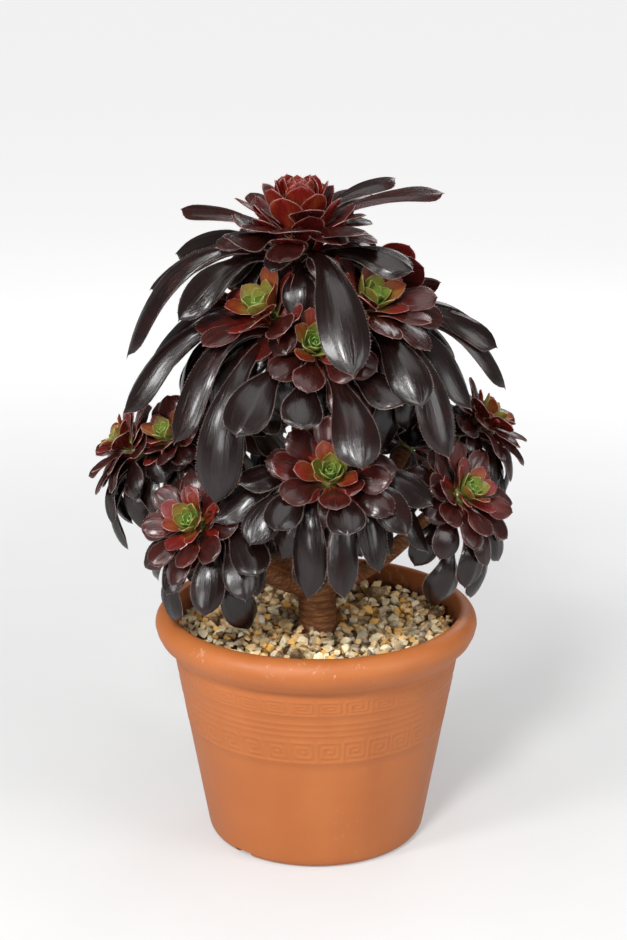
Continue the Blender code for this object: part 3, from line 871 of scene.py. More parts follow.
def spin_profile(profile, steps):
    """A profile in millimetres turned once round the vertical."""
    bm = bmesh.new()
    corners = [bm.verts.new((0, -r * MM, z * MM)) for r, z in profile]
    for first, second in zip(corners, corners[1:]):
        bm.edges.new((first, second))
    bmesh.ops.spin(
        bm,
        geom=bm.verts[:] + bm.edges[:],
        cent=(0, 0, 0),
        axis=UP,
        angle=math.tau,
        steps=steps,
        use_merge=True,
    )
    bmesh.ops.remove_doubles(bm, verts=bm.verts, dist=0.01 * MM)
    bmesh.ops.recalc_face_normals(bm, faces=bm.faces)
    return bm


def cutting_tools():
    """The notches in the foot ring and the drain holes, as one closed mesh of separate bodies."""
    bm = bmesh.new()
    for i in range(NOTCH_COUNT):
        bearing = NOTCH_BEARING + i * 360 / NOTCH_COUNT
        turn = Matrix.Rotation(math.radians(bearing), 4, "Z")
        size = Matrix.Diagonal((*(s * MM for s in NOTCH_SIZE), 1))
        place = Matrix.Translation(toward(bearing) * NOTCH_REACH * MM)
        bmesh.ops.create_cube(bm, size=1, matrix=place @ turn @ size)
        hole = Matrix.Translation(toward(bearing) * DRAIN_REACH * MM)
        radii = (DRAIN_RADIUS * MM, DRAIN_RADIUS * MM)
        add_cone(bm, DRAIN_SIDES, radii, DRAIN_CUTTER_LENGTH * MM, hole)
    return bm


def cut_with(mesh, tool):
    """The mesh with the tool's shape taken out of it, as a new mesh."""
    target = bpy.data.objects.new("cut_target", mesh)
    cutter = bpy.data.objects.new("cut_tool", tool)
    for item in (target, cutter):
        bpy.context.scene.collection.objects.link(item)
    bite = target.modifiers.new("bite", "BOOLEAN")
    bite.operation = "DIFFERENCE"
    bite.solver = "EXACT"
    bite.object = cutter
    bpy.context.view_layer.update()
    result = bpy.data.meshes.new_from_object(target.evaluated_get(bpy.context.evaluated_depsgraph_get()))
    for item in (target, cutter):
        bpy.data.objects.remove(item)
    return result


def pot_material(look):
    """Matt plastic: faintly clouded, stained by soil inside the rim, and scuffed most on the rim."""
    made, tree, shader = new_material("moulded_plastic", specular_ior_level=0.45)
    place = object_place(tree)
    shade, height = fine_grain(tree, place, 700.0)
    clouds = noise(tree, stretch(tree, place, (1, 1, 0.25)), 22.0, 4.0)
    mottle = rescale(tree, plus(tree, times(tree, shade, 0.5), times(tree, clouds, 0.5)), 0.36, 0.64)
    colour = blend(tree, mottle, look.shade, look.body)
    parts = node(tree, "ShaderNodeSeparateXYZ", {0: place}).outputs
    flat = node(tree, "ShaderNodeCombineXYZ", {"X": parts["X"], "Y": parts["Y"]}).outputs[0]
    stain = soft_step(tree, length_of(tree, flat), STAIN_REACH)
    for ends in (STAIN_FOOT, STAIN_TOP):
        stain = times(tree, stain, soft_step(tree, parts["Z"], ends))
    splash = rescale(tree, noise(tree, place, 160.0, 5.0, 0.65), 0.42, 0.62)
    stain = times(tree, stain, plus(tree, times(tree, splash, 0.5), 0.5))
    colour = blend(tree, stain, colour, look.soil)
    on_rim = rescale(tree, parts["Z"], 0.120, 0.134, 0.25, 1.0)
    worn = times(tree, flecks(tree, stretch(tree, place, (1, 1, 0.6)), 330.0, 0.615), on_rim)
    colour = blend(tree, times(tree, worn, 0.55), colour, look.scuff)
    sheen = plus(tree, rescale(tree, shade, 0.35, 0.65, 0.44, 0.56), times(tree, worn, 0.2))
    finish_shader(tree, shader, colour, sheen, height, 0.05, 0.6)
    return made


class SUCCULENT_OT_pot(bpy.types.Operator):
    """Turn the pot with its rolled rim, raise the meander and ribs, and cut the foot"""

    bl_idname = "succulent.pot"
    bl_label = "Make Pot"

    def execute(self, context):
        look = context.scene.succulent_pot
        steps = MEANDER_UNITS * len(MEANDER[0])
        bm = spin_profile(pot_profile(look), steps)
        raised = [face for face in bm.faces if is_raised(face, steps)]
        slope = MEANDER_SLOPE * MM
        bmesh.ops.inset_region(
            bm, faces=raised, thickness=slope, depth=look.relief, use_boundary=True, use_even_offset=False
        )
        shaped = cut_with(to_mesh(bm, "pot_shaped"), to_mesh(cutting_tools(), "cutting_tools"))
        smooth_mesh(shaped, POT_EDGE_ANGLE)
        add_piece("moulded_pot", shaped, pot_material(look), "terracotta_plastic", "pot")
        return {"FINISHED"}


# ---------------------------------------------------------------- potting mix and grit


def mix_material():
    """Moist dark crumbs."""
    made, tree, shader = new_material("moist_mix")
    shade, height = fine_grain(tree, object_place(tree), 420.0)
    stops = ((0.3, (0.010, 0.006, 0.004)), (0.6, (0.045, 0.027, 0.016)), (0.8, (0.10, 0.065, 0.04)))
    finish_shader(tree, shader, ramp(tree, shade, stops), 0.95, height, 1.2)
    return made


class SUCCULENT_OT_mix(bpy.types.Operator):
    """Give the potting mix its crumbly finish"""

    bl_idname = "succulent.mix"
    bl_label = "Finish Potting Mix"

    def execute(self, context):
        mesh = frame["nodes"]["potting_mix"].data
        mesh.materials.clear()
        mesh.materials.append(mix_material())
        return {"FINISHED"}


def grit_material(look):
    """Crushed stone: each stone has one colour of its own, with dull patches and fine grain."""
    made, tree, shader = new_material("crushed_stone", specular_ior_level=0.4)
    place = object_place(tree)
    kind = attribute(tree, "stone")
    stops = (
        (0.0, look.brown),
        (0.09, look.grey),
        (0.24, look.tan),
        (0.50, look.ochre),
        (0.66, look.tan),
        (0.74, look.cream),
        (0.97, WHITE_STONE),
    )
    colour = ramp(tree, kind, stops, "CONSTANT")
    shade, height = fine_grain(tree, place, 1300.0)
    patches = noise(tree, place, 330.0, 4.0, 0.6, times(tree, kind, 60.0))
    colour = blend(tree, times(tree, rescale(tree, patches, 0.40, 0.68), 0.55), colour, look.tan)
    light = rescale(tree, shade, 0.3, 0.7, 0.72, 1.22)
    colour = blend(tree, 1.0, colour, grey(tree, light), "MULTIPLY")
    finish_shader(tree, shader, colour, rescale(tree, patches, 0.3, 0.7, 0.5, 0.85), height, 0.18)
    return made


class GritBed:
    """A height map that stones come to rest on, one by one."""

    def __init__(self, radius, floor, chance):
        self.radius, self.chance = radius, chance
        self.cell = GRIT_CELL * MM
        self.half = int(radius / self.cell) + GRIT_CELL_MARGIN
        side = 2 * self.half + 1
        self.height = [[floor] * side for _ in range(side)]

    def cells_under(self, x, y, reach):
        span = int(reach / self.cell) + 1
        column, row = round(x / self.cell), round(y / self.cell)
        for i in range(-span, span + 1):
            for k in range(-span, span + 1):
                gone = math.hypot(i, k) * self.cell / reach
                if gone <= 1:
                    yield row + k + self.half, column + i + self.half, gone

    def drop(self, size, flatness):
        """Finds a low place for a stone, rests it there and returns its middle."""
        reach = size * REACH_SHARE
        spots = []
        for _ in range(DROP_TRIES):
            limit = self.radius - size * EDGE_SHARE
            distance = math.sqrt(self.chance.random()) * limit
            angle = self.chance.random() * math.tau
            x, y = math.cos(angle) * distance, math.sin(angle) * distance
            if math.hypot(x - STEM_OFFSET * MM, y) < STEM_HOLE_RADIUS * MM + size * HALF_SHARE:
                continue
            levels = [self.height[row][column] for row, column, _ in self.cells_under(x, y, reach)]
            mean_weight, top_weight = LEVEL_WEIGHTS
            spots.append((sum(levels) / len(levels) * mean_weight + max(levels) * top_weight, x, y))
        if not spots:
            return None
        level, x, y = min(spots)
        middle = level + size * flatness * REST_SHARE
        for row, column, gone in self.cells_under(x, y, reach):
            top = middle + size * flatness * DOME_SHARE * math.sqrt(max(1 - gone * gone, 0))
            self.height[row][column] = max(self.height[row][column], top)
        return Vector((x, y, middle))


def stone_shapes(chance):
    """A few angular stones, each the hull of points on a rough ball of unit size."""
    shapes = []
    for number in range(STONE_SHAPES):
        bm = bmesh.new()
        for _ in range(STONE_CORNERS):
            point = Vector((chance.gauss(0, 1), chance.gauss(0, 1), chance.gauss(0, 1))).normalized()
            bm.verts.new(point * chance.uniform(*STONE_CORNER_REACH))
        hull = bmesh.ops.convex_hull(bm, input=bm.verts[:])
        loose = [item for item in hull["geom_interior"] if isinstance(item, bmesh.types.BMVert)]
        bmesh.ops.delete(bm, geom=loose, context="VERTS")
        bmesh.ops.recalc_face_normals(bm, faces=bm.faces)
        shapes.append(to_mesh(bm, f"stone_shape_{number}"))
    return shapes


def settled_stones(look, bed, chance):
    """Middle, size and flatness of each stone, in the order in which they come to rest."""
    places = []
    for _ in range(look.stones):
        share = chance.random() ** SMALL_STONE_BIAS
        size = look.smallest + (look.largest - look.smallest) * share
        flatness = chance.uniform(*STONE_FLATNESS)
        middle = bed.drop(size, flatness)
        if middle is not None and middle.z + size * HALF_SHARE < GRIT_HIGH.z + GRIT_PILE_LIMIT * MM:
            places.append((middle, size, flatness))
    bearing, reach, rise, size, flatness = BIG_STONE
    places.append((toward(bearing) * reach * MM + UP * (GRIT_HIGH.z + rise * MM), size * MM, flatness))
    return places


def stone_matrix(middle, size, flatness, chance):
    """The place, turn and size of one stone."""
    tilts = [Matrix.Rotation(chance.uniform(-STONE_TILT, STONE_TILT), 4, axis) for axis in "XY"]
    turn = tilts[0] @ tilts[1] @ Matrix.Rotation(chance.uniform(0, math.tau), 4, "Z")
    length, breadth = size * chance.uniform(*STONE_LENGTH), size * chance.uniform(*STONE_BREADTH)
    scale = Matrix.Diagonal((length, breadth, size * flatness * STONE_DEPTH, 1))
    return Matrix.Translation(middle) @ turn @ scale


class SUCCULENT_OT_grit(bpy.types.Operator):
    """Drop angular stones on the potting mix until they cover it"""

    bl_idname = "succulent.grit"
    bl_label = "Scatter Grit"

    def execute(self, context):
        look = context.scene.succulent_grit
        chance = random.Random(SEED)
        floor = GRIT_HIGH.z - GRIT_LAYER * MM
        shapes = stone_shapes(chance)
        bm = bmesh.new()
        kind = bm.verts.layers.float.new("stone")
        radius = FILL_RADIUS - FIT_GAP * MM
        half_way = Matrix.Translation((0, 0, (floor + GRIT_LOW.z) / 2))
        for vert in add_cone(bm, GRIT_BASE_SIDES, (radius, radius), floor - GRIT_LOW.z, half_way):
            vert[kind] = BASE_TONE
        for middle, size, flatness in settled_stones(look, GritBed(FILL_RADIUS, floor, chance), chance):
            matrix = stone_matrix(middle, size, flatness, chance)
            tone = BIG_STONE_TONE if size > look.largest else chance.random()
            stone = chance.choice(shapes).copy()
            stone.transform(matrix)
            tones = stone.attributes.new("stone", "FLOAT", "POINT")
            tones.data.foreach_set("value", [tone] * len(stone.vertices))
            bm.from_mesh(stone)
            bpy.data.meshes.remove(stone)
        grit = to_mesh(bm, "grit", STONE_EDGE_ANGLE)
        add_piece("grit_dressing", grit, grit_material(look), "gravel", "gravel_top_dressing")
        return {"FINISHED"}


# ---------------------------------------------------------------- stems


def rosette_axis(name):
    bearing, tilt = ROSETTES[name][:2]
    lean = math.radians(tilt)
    return (UP * math.cos(lean) + toward(bearing) * math.sin(lean)).normalized()


def core_length(name):
    rings = LEADER_CORE_RINGS if name == "leader" else SIDE_CORE_RINGS
    return rings * CORE_RING * MM


def stem_end(name):
    """Middle of the frame's end face that carries a rosette."""
    axis = rosette_axis(name)
    carrier = "main_stem" if name == "leader" else f"branch_{name}"
    corners = {tuple(round(c, 6) for c in v.co) for v in frame["nodes"][carrier].data.vertices}
    furthest = max(Vector(c).dot(axis) for c in corners)
    ring = [Vector(c) for c in corners if Vector(c).dot(axis) > furthest - 0.05 * MM]
    return sum(ring, Vector()) / len(ring)


def crown(name):
    """The point that a rosette's leaves spread from."""
    return stem_end(name) + rosette_axis(name) * (core_length(name) / 2 + FIT_GAP * MM)


def stem_at(height):
    """Centre and radius of the main stem at a height in millimetres."""
    for (low, low_radius), (high, high_radius) in zip(STEM_LINE, STEM_LINE[1:]):
        if low[2] <= height <= high[2]:
            share = (height - low[2]) / (high[2] - low[2])
            radius = low_radius + (high_radius - low_radius) * share
            return Vector(low).lerp(Vector(high), share) * MM, radius * MM
    raise ValueError(f"the stem doesn't reach {height} mm")


def curve_between(start, leave, end, arrive, count):
    """A cubic curve that leaves and arrives along two directions."""
    span = (end - start).length * LIMB_TENSION
    first, second = start + leave * span, end - arrive * span
    found = []
    for i in range(count + 1):
        t = i / count
        s = 1 - t
        found.append(start * s**3 + first * (3 * s * s * t) + second * (3 * s * t * t) + end * t**3)
    return found


def branch_line(name, count):
    """A branch's centre line: it starts inside the main stem and ends at its rosette."""
    height = ROSETTES[name][2]
    centre, radius = stem_at(height)
    end = stem_end(name)
    out = Vector((end.x - centre.x, end.y - centre.y, 0)).normalized()
    leave = (out + UP * LIMB_RISE).normalized()
    return curve_between(centre + out * radius * LIMB_ROOT, leave, end, rosette_axis(name), count)


def evenly(points, radii, count):
    """The same line and radii read at even steps along a smooth curve through the points."""
    found = []
    lengths = [0.0]
    for first, second in zip(points, points[1:]):
        lengths.append(lengths[-1] + (second - first).length)
    for i in range(count + 1):
        goal = lengths[-1] * i / count
        k = min(max(sum(1 for reached in lengths if reached <= goal) - 1, 0), len(points) - 2)
        t = (goal - lengths[k]) / (lengths[k + 1] - lengths[k])
        before, after = points[max(k - 1, 0)], points[min(k + 2, len(points) - 1)]
        a, b = points[k], points[k + 1]
        first, second = (b - before) / 2, (after - a) / 2
        smooth_point = a * (2 * t**3 - 3 * t**2 + 1) + first * (t**3 - 2 * t**2 + t)
        smooth_point += b * (3 * t**2 - 2 * t**3) + second * (t**3 - t**2)
        found.append((smooth_point, radii[k] + (radii[k + 1] - radii[k]) * t, goal))
    return found


def ringed_stem(line, sides, ridge, spacing, chance, swell=0.0):
    """A closed stem along a line of points, radii and distances, with rings left by fallen leaves."""
    bm = bmesh.new()
    ring_layer = bm.verts.layers.float.new("ring")
    place_layer = bm.verts.layers.float.new("height")
    points = [p for p, _, _ in line]
    last = len(points) - 1
    bmesh.ops.create_circle(bm, cap_ends=True, segments=sides, radius=1)
    face = bm.faces[:][0]
    order = list(face.verts)
    waves = [
        (chance.uniform(0, math.tau), chance.choice(WAVE_TURNS), chance.uniform(*WAVE_SIZES))
        for _ in range(RING_WAVES)
    ]
    for i, (point, radius, gone) in enumerate(line):
        tangent = (points[min(i + 1, last)] - points[max(i - 1, 0)]).normalized()
        across, other = across_to(tangent, Vector((1, 0.2, 0)))
        if i:
            face = bmesh.ops.extrude_discrete_faces(bm, faces=[face])["faces"][0]
            order = list(face.verts)
        for k, vert in enumerate(order):
            angle = math.tau * k / sides
            wobble = sum(math.sin(angle * turns + start) * size for start, turns, size in waves)
            phase = ((gone + wobble * RING_WOBBLE * MM) / spacing) % 1.0
            height = smooth(min(phase / RING_RISE, (1 - phase) / (1 - RING_RISE)))
            bulge = 1 + swell * max(0.0, 1 - gone / (radius * 2)) ** 2
            out = across * math.cos(angle) + other * math.sin(angle)
            vert.co = point + out * (radius * bulge + ridge * (height - RING_LEVEL))
            vert[ring_layer] = height
            vert[place_layer] = point.z
    bmesh.ops.holes_fill(bm, edges=[e for e in bm.edges if e.is_boundary], sides=0)
    bmesh.ops.recalc_face_normals(bm, faces=bm.faces)
    return bm


def bark_material(look):
    """Flaking bark: ridges between dark grooves, younger and greener with height."""
    made, tree, shader = new_material("ringed_bark", specular_ior_level=0.4)
    place = object_place(tree)
    shade, fine = fine_grain(tree, place, 800.0)
    bark = blend(tree, rescale(tree, attribute(tree, "height"), 0.13, 0.33), look.old_bark, look.young_bark)
    patches = rescale(tree, noise(tree, place, 120.0, 4.0, 0.6), 0.3, 0.7)
    bark = blend(tree, times(tree, patches, 0.45), bark, BARK_FLAKE)
    lines = rescale(tree, noise(tree, stretch(tree, place, (1, 1, 5)), 160.0, 5.0, 0.7), 0.38, 0.60)
    crest = times(tree, rescale(tree, attribute(tree, "ring"), 0.0, 0.6), lines)
    colour = blend(tree, crest, look.groove, bark)
    height = plus(tree, lines, times(tree, fine, 0.5))
    finish_shader(tree, shader, colour, rescale(tree, shade, 0.3, 0.7, 0.55, 0.85), height, 0.35)
    return made


class SUCCULENT_OT_stems(bpy.types.Operator):
    """Grow the main stem and its branches with rings where leaves have fallen"""

    bl_idname = "succulent.stems"
    bl_label = "Grow Stems"

    def execute(self, context):
        look = context.scene.succulent_stem
        chance = random.Random(SEED)
        bark = bark_material(look)
        points = [Vector(p) * MM for p, _ in STEM_LINE] + [stem_end("leader")]
        radii = [r * MM for _, r in STEM_LINE] + [ROSETTES["leader"][3] * MM]
        line = evenly(points, radii, TRUNK_STEPS)
        trunk = to_mesh(ringed_stem(line, TRUNK_SIDES, look.ridge, TRUNK_RING * MM, chance), "trunk")
        add_piece("ringed_trunk", trunk, bark, "stem_bark", "main_stem")
        ridge = look.ridge * LIMB_RIDGE
        first, added = LIMB_TAPER
        for name, (_, _, height, radius, _) in ROSETTES.items():
            if height is None:
                continue
            points = branch_line(name, LIMB_POINTS)
            radii = [radius * MM * (first + added * i / LIMB_POINTS) for i in range(LIMB_POINTS + 1)]
            line = evenly(points, radii, LIMB_STEPS)
            limb = ringed_stem(line, LIMB_SIDES, ridge, LIMB_RING * MM, chance, LIMB_SWELL)
            add_piece(f"limb_{name}", to_mesh(limb, f"limb_{name}"), bark, "stem_bark", f"branch_{name}")
        return {"FINISHED"}


# ---------------------------------------------------------------- leaves


class Leaf:
    """One leaf: its root, the way it sets out, its tip, its width, its age and its folds."""

    def __init__(self, root, heading, tip, width, hint, age, curl, thickness, chance):
        self.root, self.tip, self.width, self.hint = root, tip, width, hint
        self.age, self.curl, self.thickness = age, curl, thickness * between(YOUNG_SCALE, age)
        self.length = (tip - root).length
        self.knee = root + heading * self.length * between(KNEE, age)
        self.tone = chance.random()
        self.cup = between(CUP, age) + chance.uniform(-CUP_CHANCE, CUP_CHANCE)
        self.fold = between(FOLD, age) * chance.uniform(*FOLD_CHANCE) * MM
        self.fold_phase = chance.uniform(0, math.tau)
        self.fold_count = chance.choice(FOLD_COUNTS)
        self.wave = between(WAVE, age) * chance.uniform(*WAVE_CHANCE) * MM
        self.wave_phase = chance.uniform(0, math.tau)
        self.twist = math.radians(chance.uniform(-TWIST, TWIST) * age)

    def half_width(self, share):
        """Half the blade's width at a share of its length: narrow, then spoon-shaped."""
        youth = smooth((YOUTH_AGE - self.age) / YOUTH_SPAN)
        least, most = ROUND_END_LIMITS
        widest = BLADE_END - min(max(ROUND_END * self.width / self.length, least), most)
        if share < widest:
            neck, start = between(NECK, youth), between(NECK_END, youth)
            opened = smooth((share - start) / (widest - start)) ** between(SHOULDER_POWER, youth)
            wide = (neck + (1 - neck) * opened) * smooth(share / ROOT_END)
            point = 0
        else:
            gone = min((share - widest) / (BLADE_END - widest), 1)
            wide = max(1 - gone ** between(END_POWER, youth), 0) ** between(END_ROUNDING, youth)
            point = POINT_HALF * MM * min((1 - share) / (1 - BLADE_END), 1)
        return max(self.width / 2 * wide, point)

    def section(self, share):
        """Middle, side and normal directions, half width and half thickness at a share."""
        rest = 1 - share
        point = self.root * rest**2 + self.knee * (2 * share * rest) + self.tip * share**2
        tangent = ((self.knee - self.root) * rest + (self.tip - self.knee) * share).normalized()
        side = (self.hint - tangent * self.hint.dot(tangent)).normalized()
        normal = side.cross(tangent)
        past = max(share - CURL_START, 0)
        point -= normal * (self.curl * past**2 * self.length)
        normal = (normal + tangent * (2 * self.curl * past)).normalized()
        cos, sin = math.cos(self.twist * share), math.sin(self.twist * share)
        side, normal = side * cos + normal * sin, normal * cos - side * sin
        thick = self.thickness / 2 * between(BLADE_THICKNESS, smooth((share - 0.3) / 0.6))
        thick *= smooth(share / ROOT_END)
        if share > BLADE_END:
            thick *= (1 - share) / (1 - BLADE_END)
        return point, side, normal, self.half_width(share), thick

    def surface(self, section, share, angle):
        """A point of the skin: the angle runs from one margin over the top to the other."""
        point, side, normal, half, thick = section
        x, z = math.cos(angle), math.sin(angle)
        lively = smooth(share / FOLDS_START) * (1 - smooth((share - FOLDS_END) / (1 - FOLDS_END)))
        lift = self.cup * half * x * x
        lift += self.fold * lively * math.cos(self.fold_count * math.pi * x + self.fold_phase) * (1 - x**4)
        lift += self.wave * lively * math.sin(share * WAVE_COUNT + self.wave_phase + x) * abs(x) ** 3
        return point + side * half * x + normal * (lift + thick * z * (1 - 0.3 * x**4))

    def stations(self, grow):
        """Coarse cross-sections for keeping clear: four corners each."""
        found = []
        for share, wide, thick in CLEARANCE_STATIONS:
            point, side, normal, _, _ = self.section(share)
            across = side * (self.width / 2 * wide + grow)
            up = normal * (self.thickness / 2 * thick + grow)
            found.append([point - across - up, point + across - up, point + across + up, point - across + up])
        return found


def shares_along(count):
    """Stations along a leaf, closer together at its rounded end."""
    return [1 - (1 - i / count) ** GRID_CROWDING for i in range(count + 1)]


class LeafMaker:
    """Adds leaves and their margin bristles to one mesh, each made in a small mesh of its own first."""

    LAYERS = ("age", "tone", "margin", "along", "face")

    def __init__(self, look, chance):
        self.look, self.chance = look, chance
        self.whole = self.new_part()
        self.scrap = bpy.data.meshes.new("scrap")

    def new_part(self):
        bm = bmesh.new()
        bm.loops.layers.uv.new("UVMap")
        for name in self.LAYERS:
            bm.verts.layers.float.new(name)
        return bm

    def mark(self, bm, verts, **values):
        for name, value in values.items():
            layer = bm.verts.layers.float[name]
            for vert in verts:
                vert[layer] = value

    def join(self, bm):
        bm.to_mesh(self.scrap)
        bm.free()
        self.whole.from_mesh(self.scrap)

    def add(self, leaf, small=False):
        around, along = BUD_GRID if small else LEAF_GRID
        bm = self.new_part()
        bmesh.ops.create_grid(bm, x_segments=around, y_segments=along, size=0.5, calc_uvs=True)
        self.mark(bm, bm.verts, age=leaf.age, tone=leaf.tone)
        margin_layer, along_layer, face_layer = (bm.verts.layers.float[name] for name in self.LAYERS[2:])
        shares = shares_along(along)
        sections = [leaf.section(share) for share in shares]
        for vert in bm.verts:
            step = round((vert.co.y + 0.5) * along)
            angle = (vert.co.x + 0.5) * math.tau
            share, section = shares[step], sections[step]
            vert.co = leaf.surface(section, share, angle)
            inset = section[3] * (1 - abs(math.cos(angle)))
            vert[margin_layer] = min(inset, (1 - share) * leaf.length) / MM
            vert[along_layer] = share
            vert[face_layer] = math.sin(angle)
        bmesh.ops.remove_doubles(bm, verts=bm.verts, dist=0.002 * MM)
        self.add_bristles(bm, leaf)
        self.join(bm)

    def add_bristles(self, bm, leaf):
        """Short pale bristles along both margins."""
        length = self.look.bristle * between(YOUNG_SCALE, leaf.age)
        radii = [radius * MM for radius in BRISTLE_RADII]
        share, last = BRISTLE_SPAN
        while share < last:
            section = leaf.section(share)
            further = leaf.section(share + AHEAD)
            for angle in (0.0, math.pi):
                base = leaf.surface(section, share, angle)
                forward = (leaf.surface(further, share + AHEAD, angle) - base).normalized()
                out = section[1] * math.cos(angle)
                out = (out - forward * out.dot(forward)).normalized()
                lean, lift = self.chance.uniform(*BRISTLE_LEANS), self.chance.uniform(*BRISTLE_LIFTS)
                way = (out + forward * lean + section[2] * lift).normalized()
                size = length * self.chance.uniform(*BRISTLE_SIZES)
                middle = base + way * (size / 2 - BRISTLE_ROOT * MM)
                bristle = add_cone(bm, 3, radii, size, facing(way, middle))
                self.mark(bm, bristle, age=leaf.age, tone=leaf.tone, along=share, face=BRISTLE_FACE)
            share += BRISTLE_SPACING * MM * self.chance.uniform(*BRISTLE_STEPS) / leaf.length


def sections_tree(stations):
    """A search tree of a leaf's rough surface, with a ball round it."""
    corners = [c for station in stations for c in station]
    last = len(corners) - 4
    quads = [(0, 1, 2, 3), (last, last + 1, last + 2, last + 3)]
    for first in range(0, last, 4):
        quads += [(first + k, first + (k + 1) % 4, first + (k + 1) % 4 + 4, first + k + 4) for k in range(4)]
    middle = sum(corners, Vector()) / len(corners)
    return middle, max((c - middle).length for c in corners), BVHTree.FromPolygons(corners, quads)


class Garden:
    """What has grown so far, so that a new leaf can keep clear of it."""

    def __init__(self):
        self.grown = []

    def add_solid(self, bm):
        corners = [v.co.copy() for v in bm.verts]
        middle = sum(corners, Vector()) / len(corners)
        reach = max((c - middle).length for c in corners)
        self.grown.append((middle, reach, BVHTree.FromBMesh(bm)))
        bm.free()

    def add_leaf(self, leaf):
        self.grown.append(sections_tree(leaf.stations(0.0)))

    def is_clear(self, leaf):
        stations = leaf.stations(LEAF_CLEARANCE)
        if min(c.z for station in stations for c in station) < LOWEST_LEAF:
            return False
        middle, reach, tree = sections_tree(stations)
        for other_middle, other_reach, other in self.grown:
            if (middle - other_middle).length < reach + other_reach and tree.overlap(other):
                return False
        return True


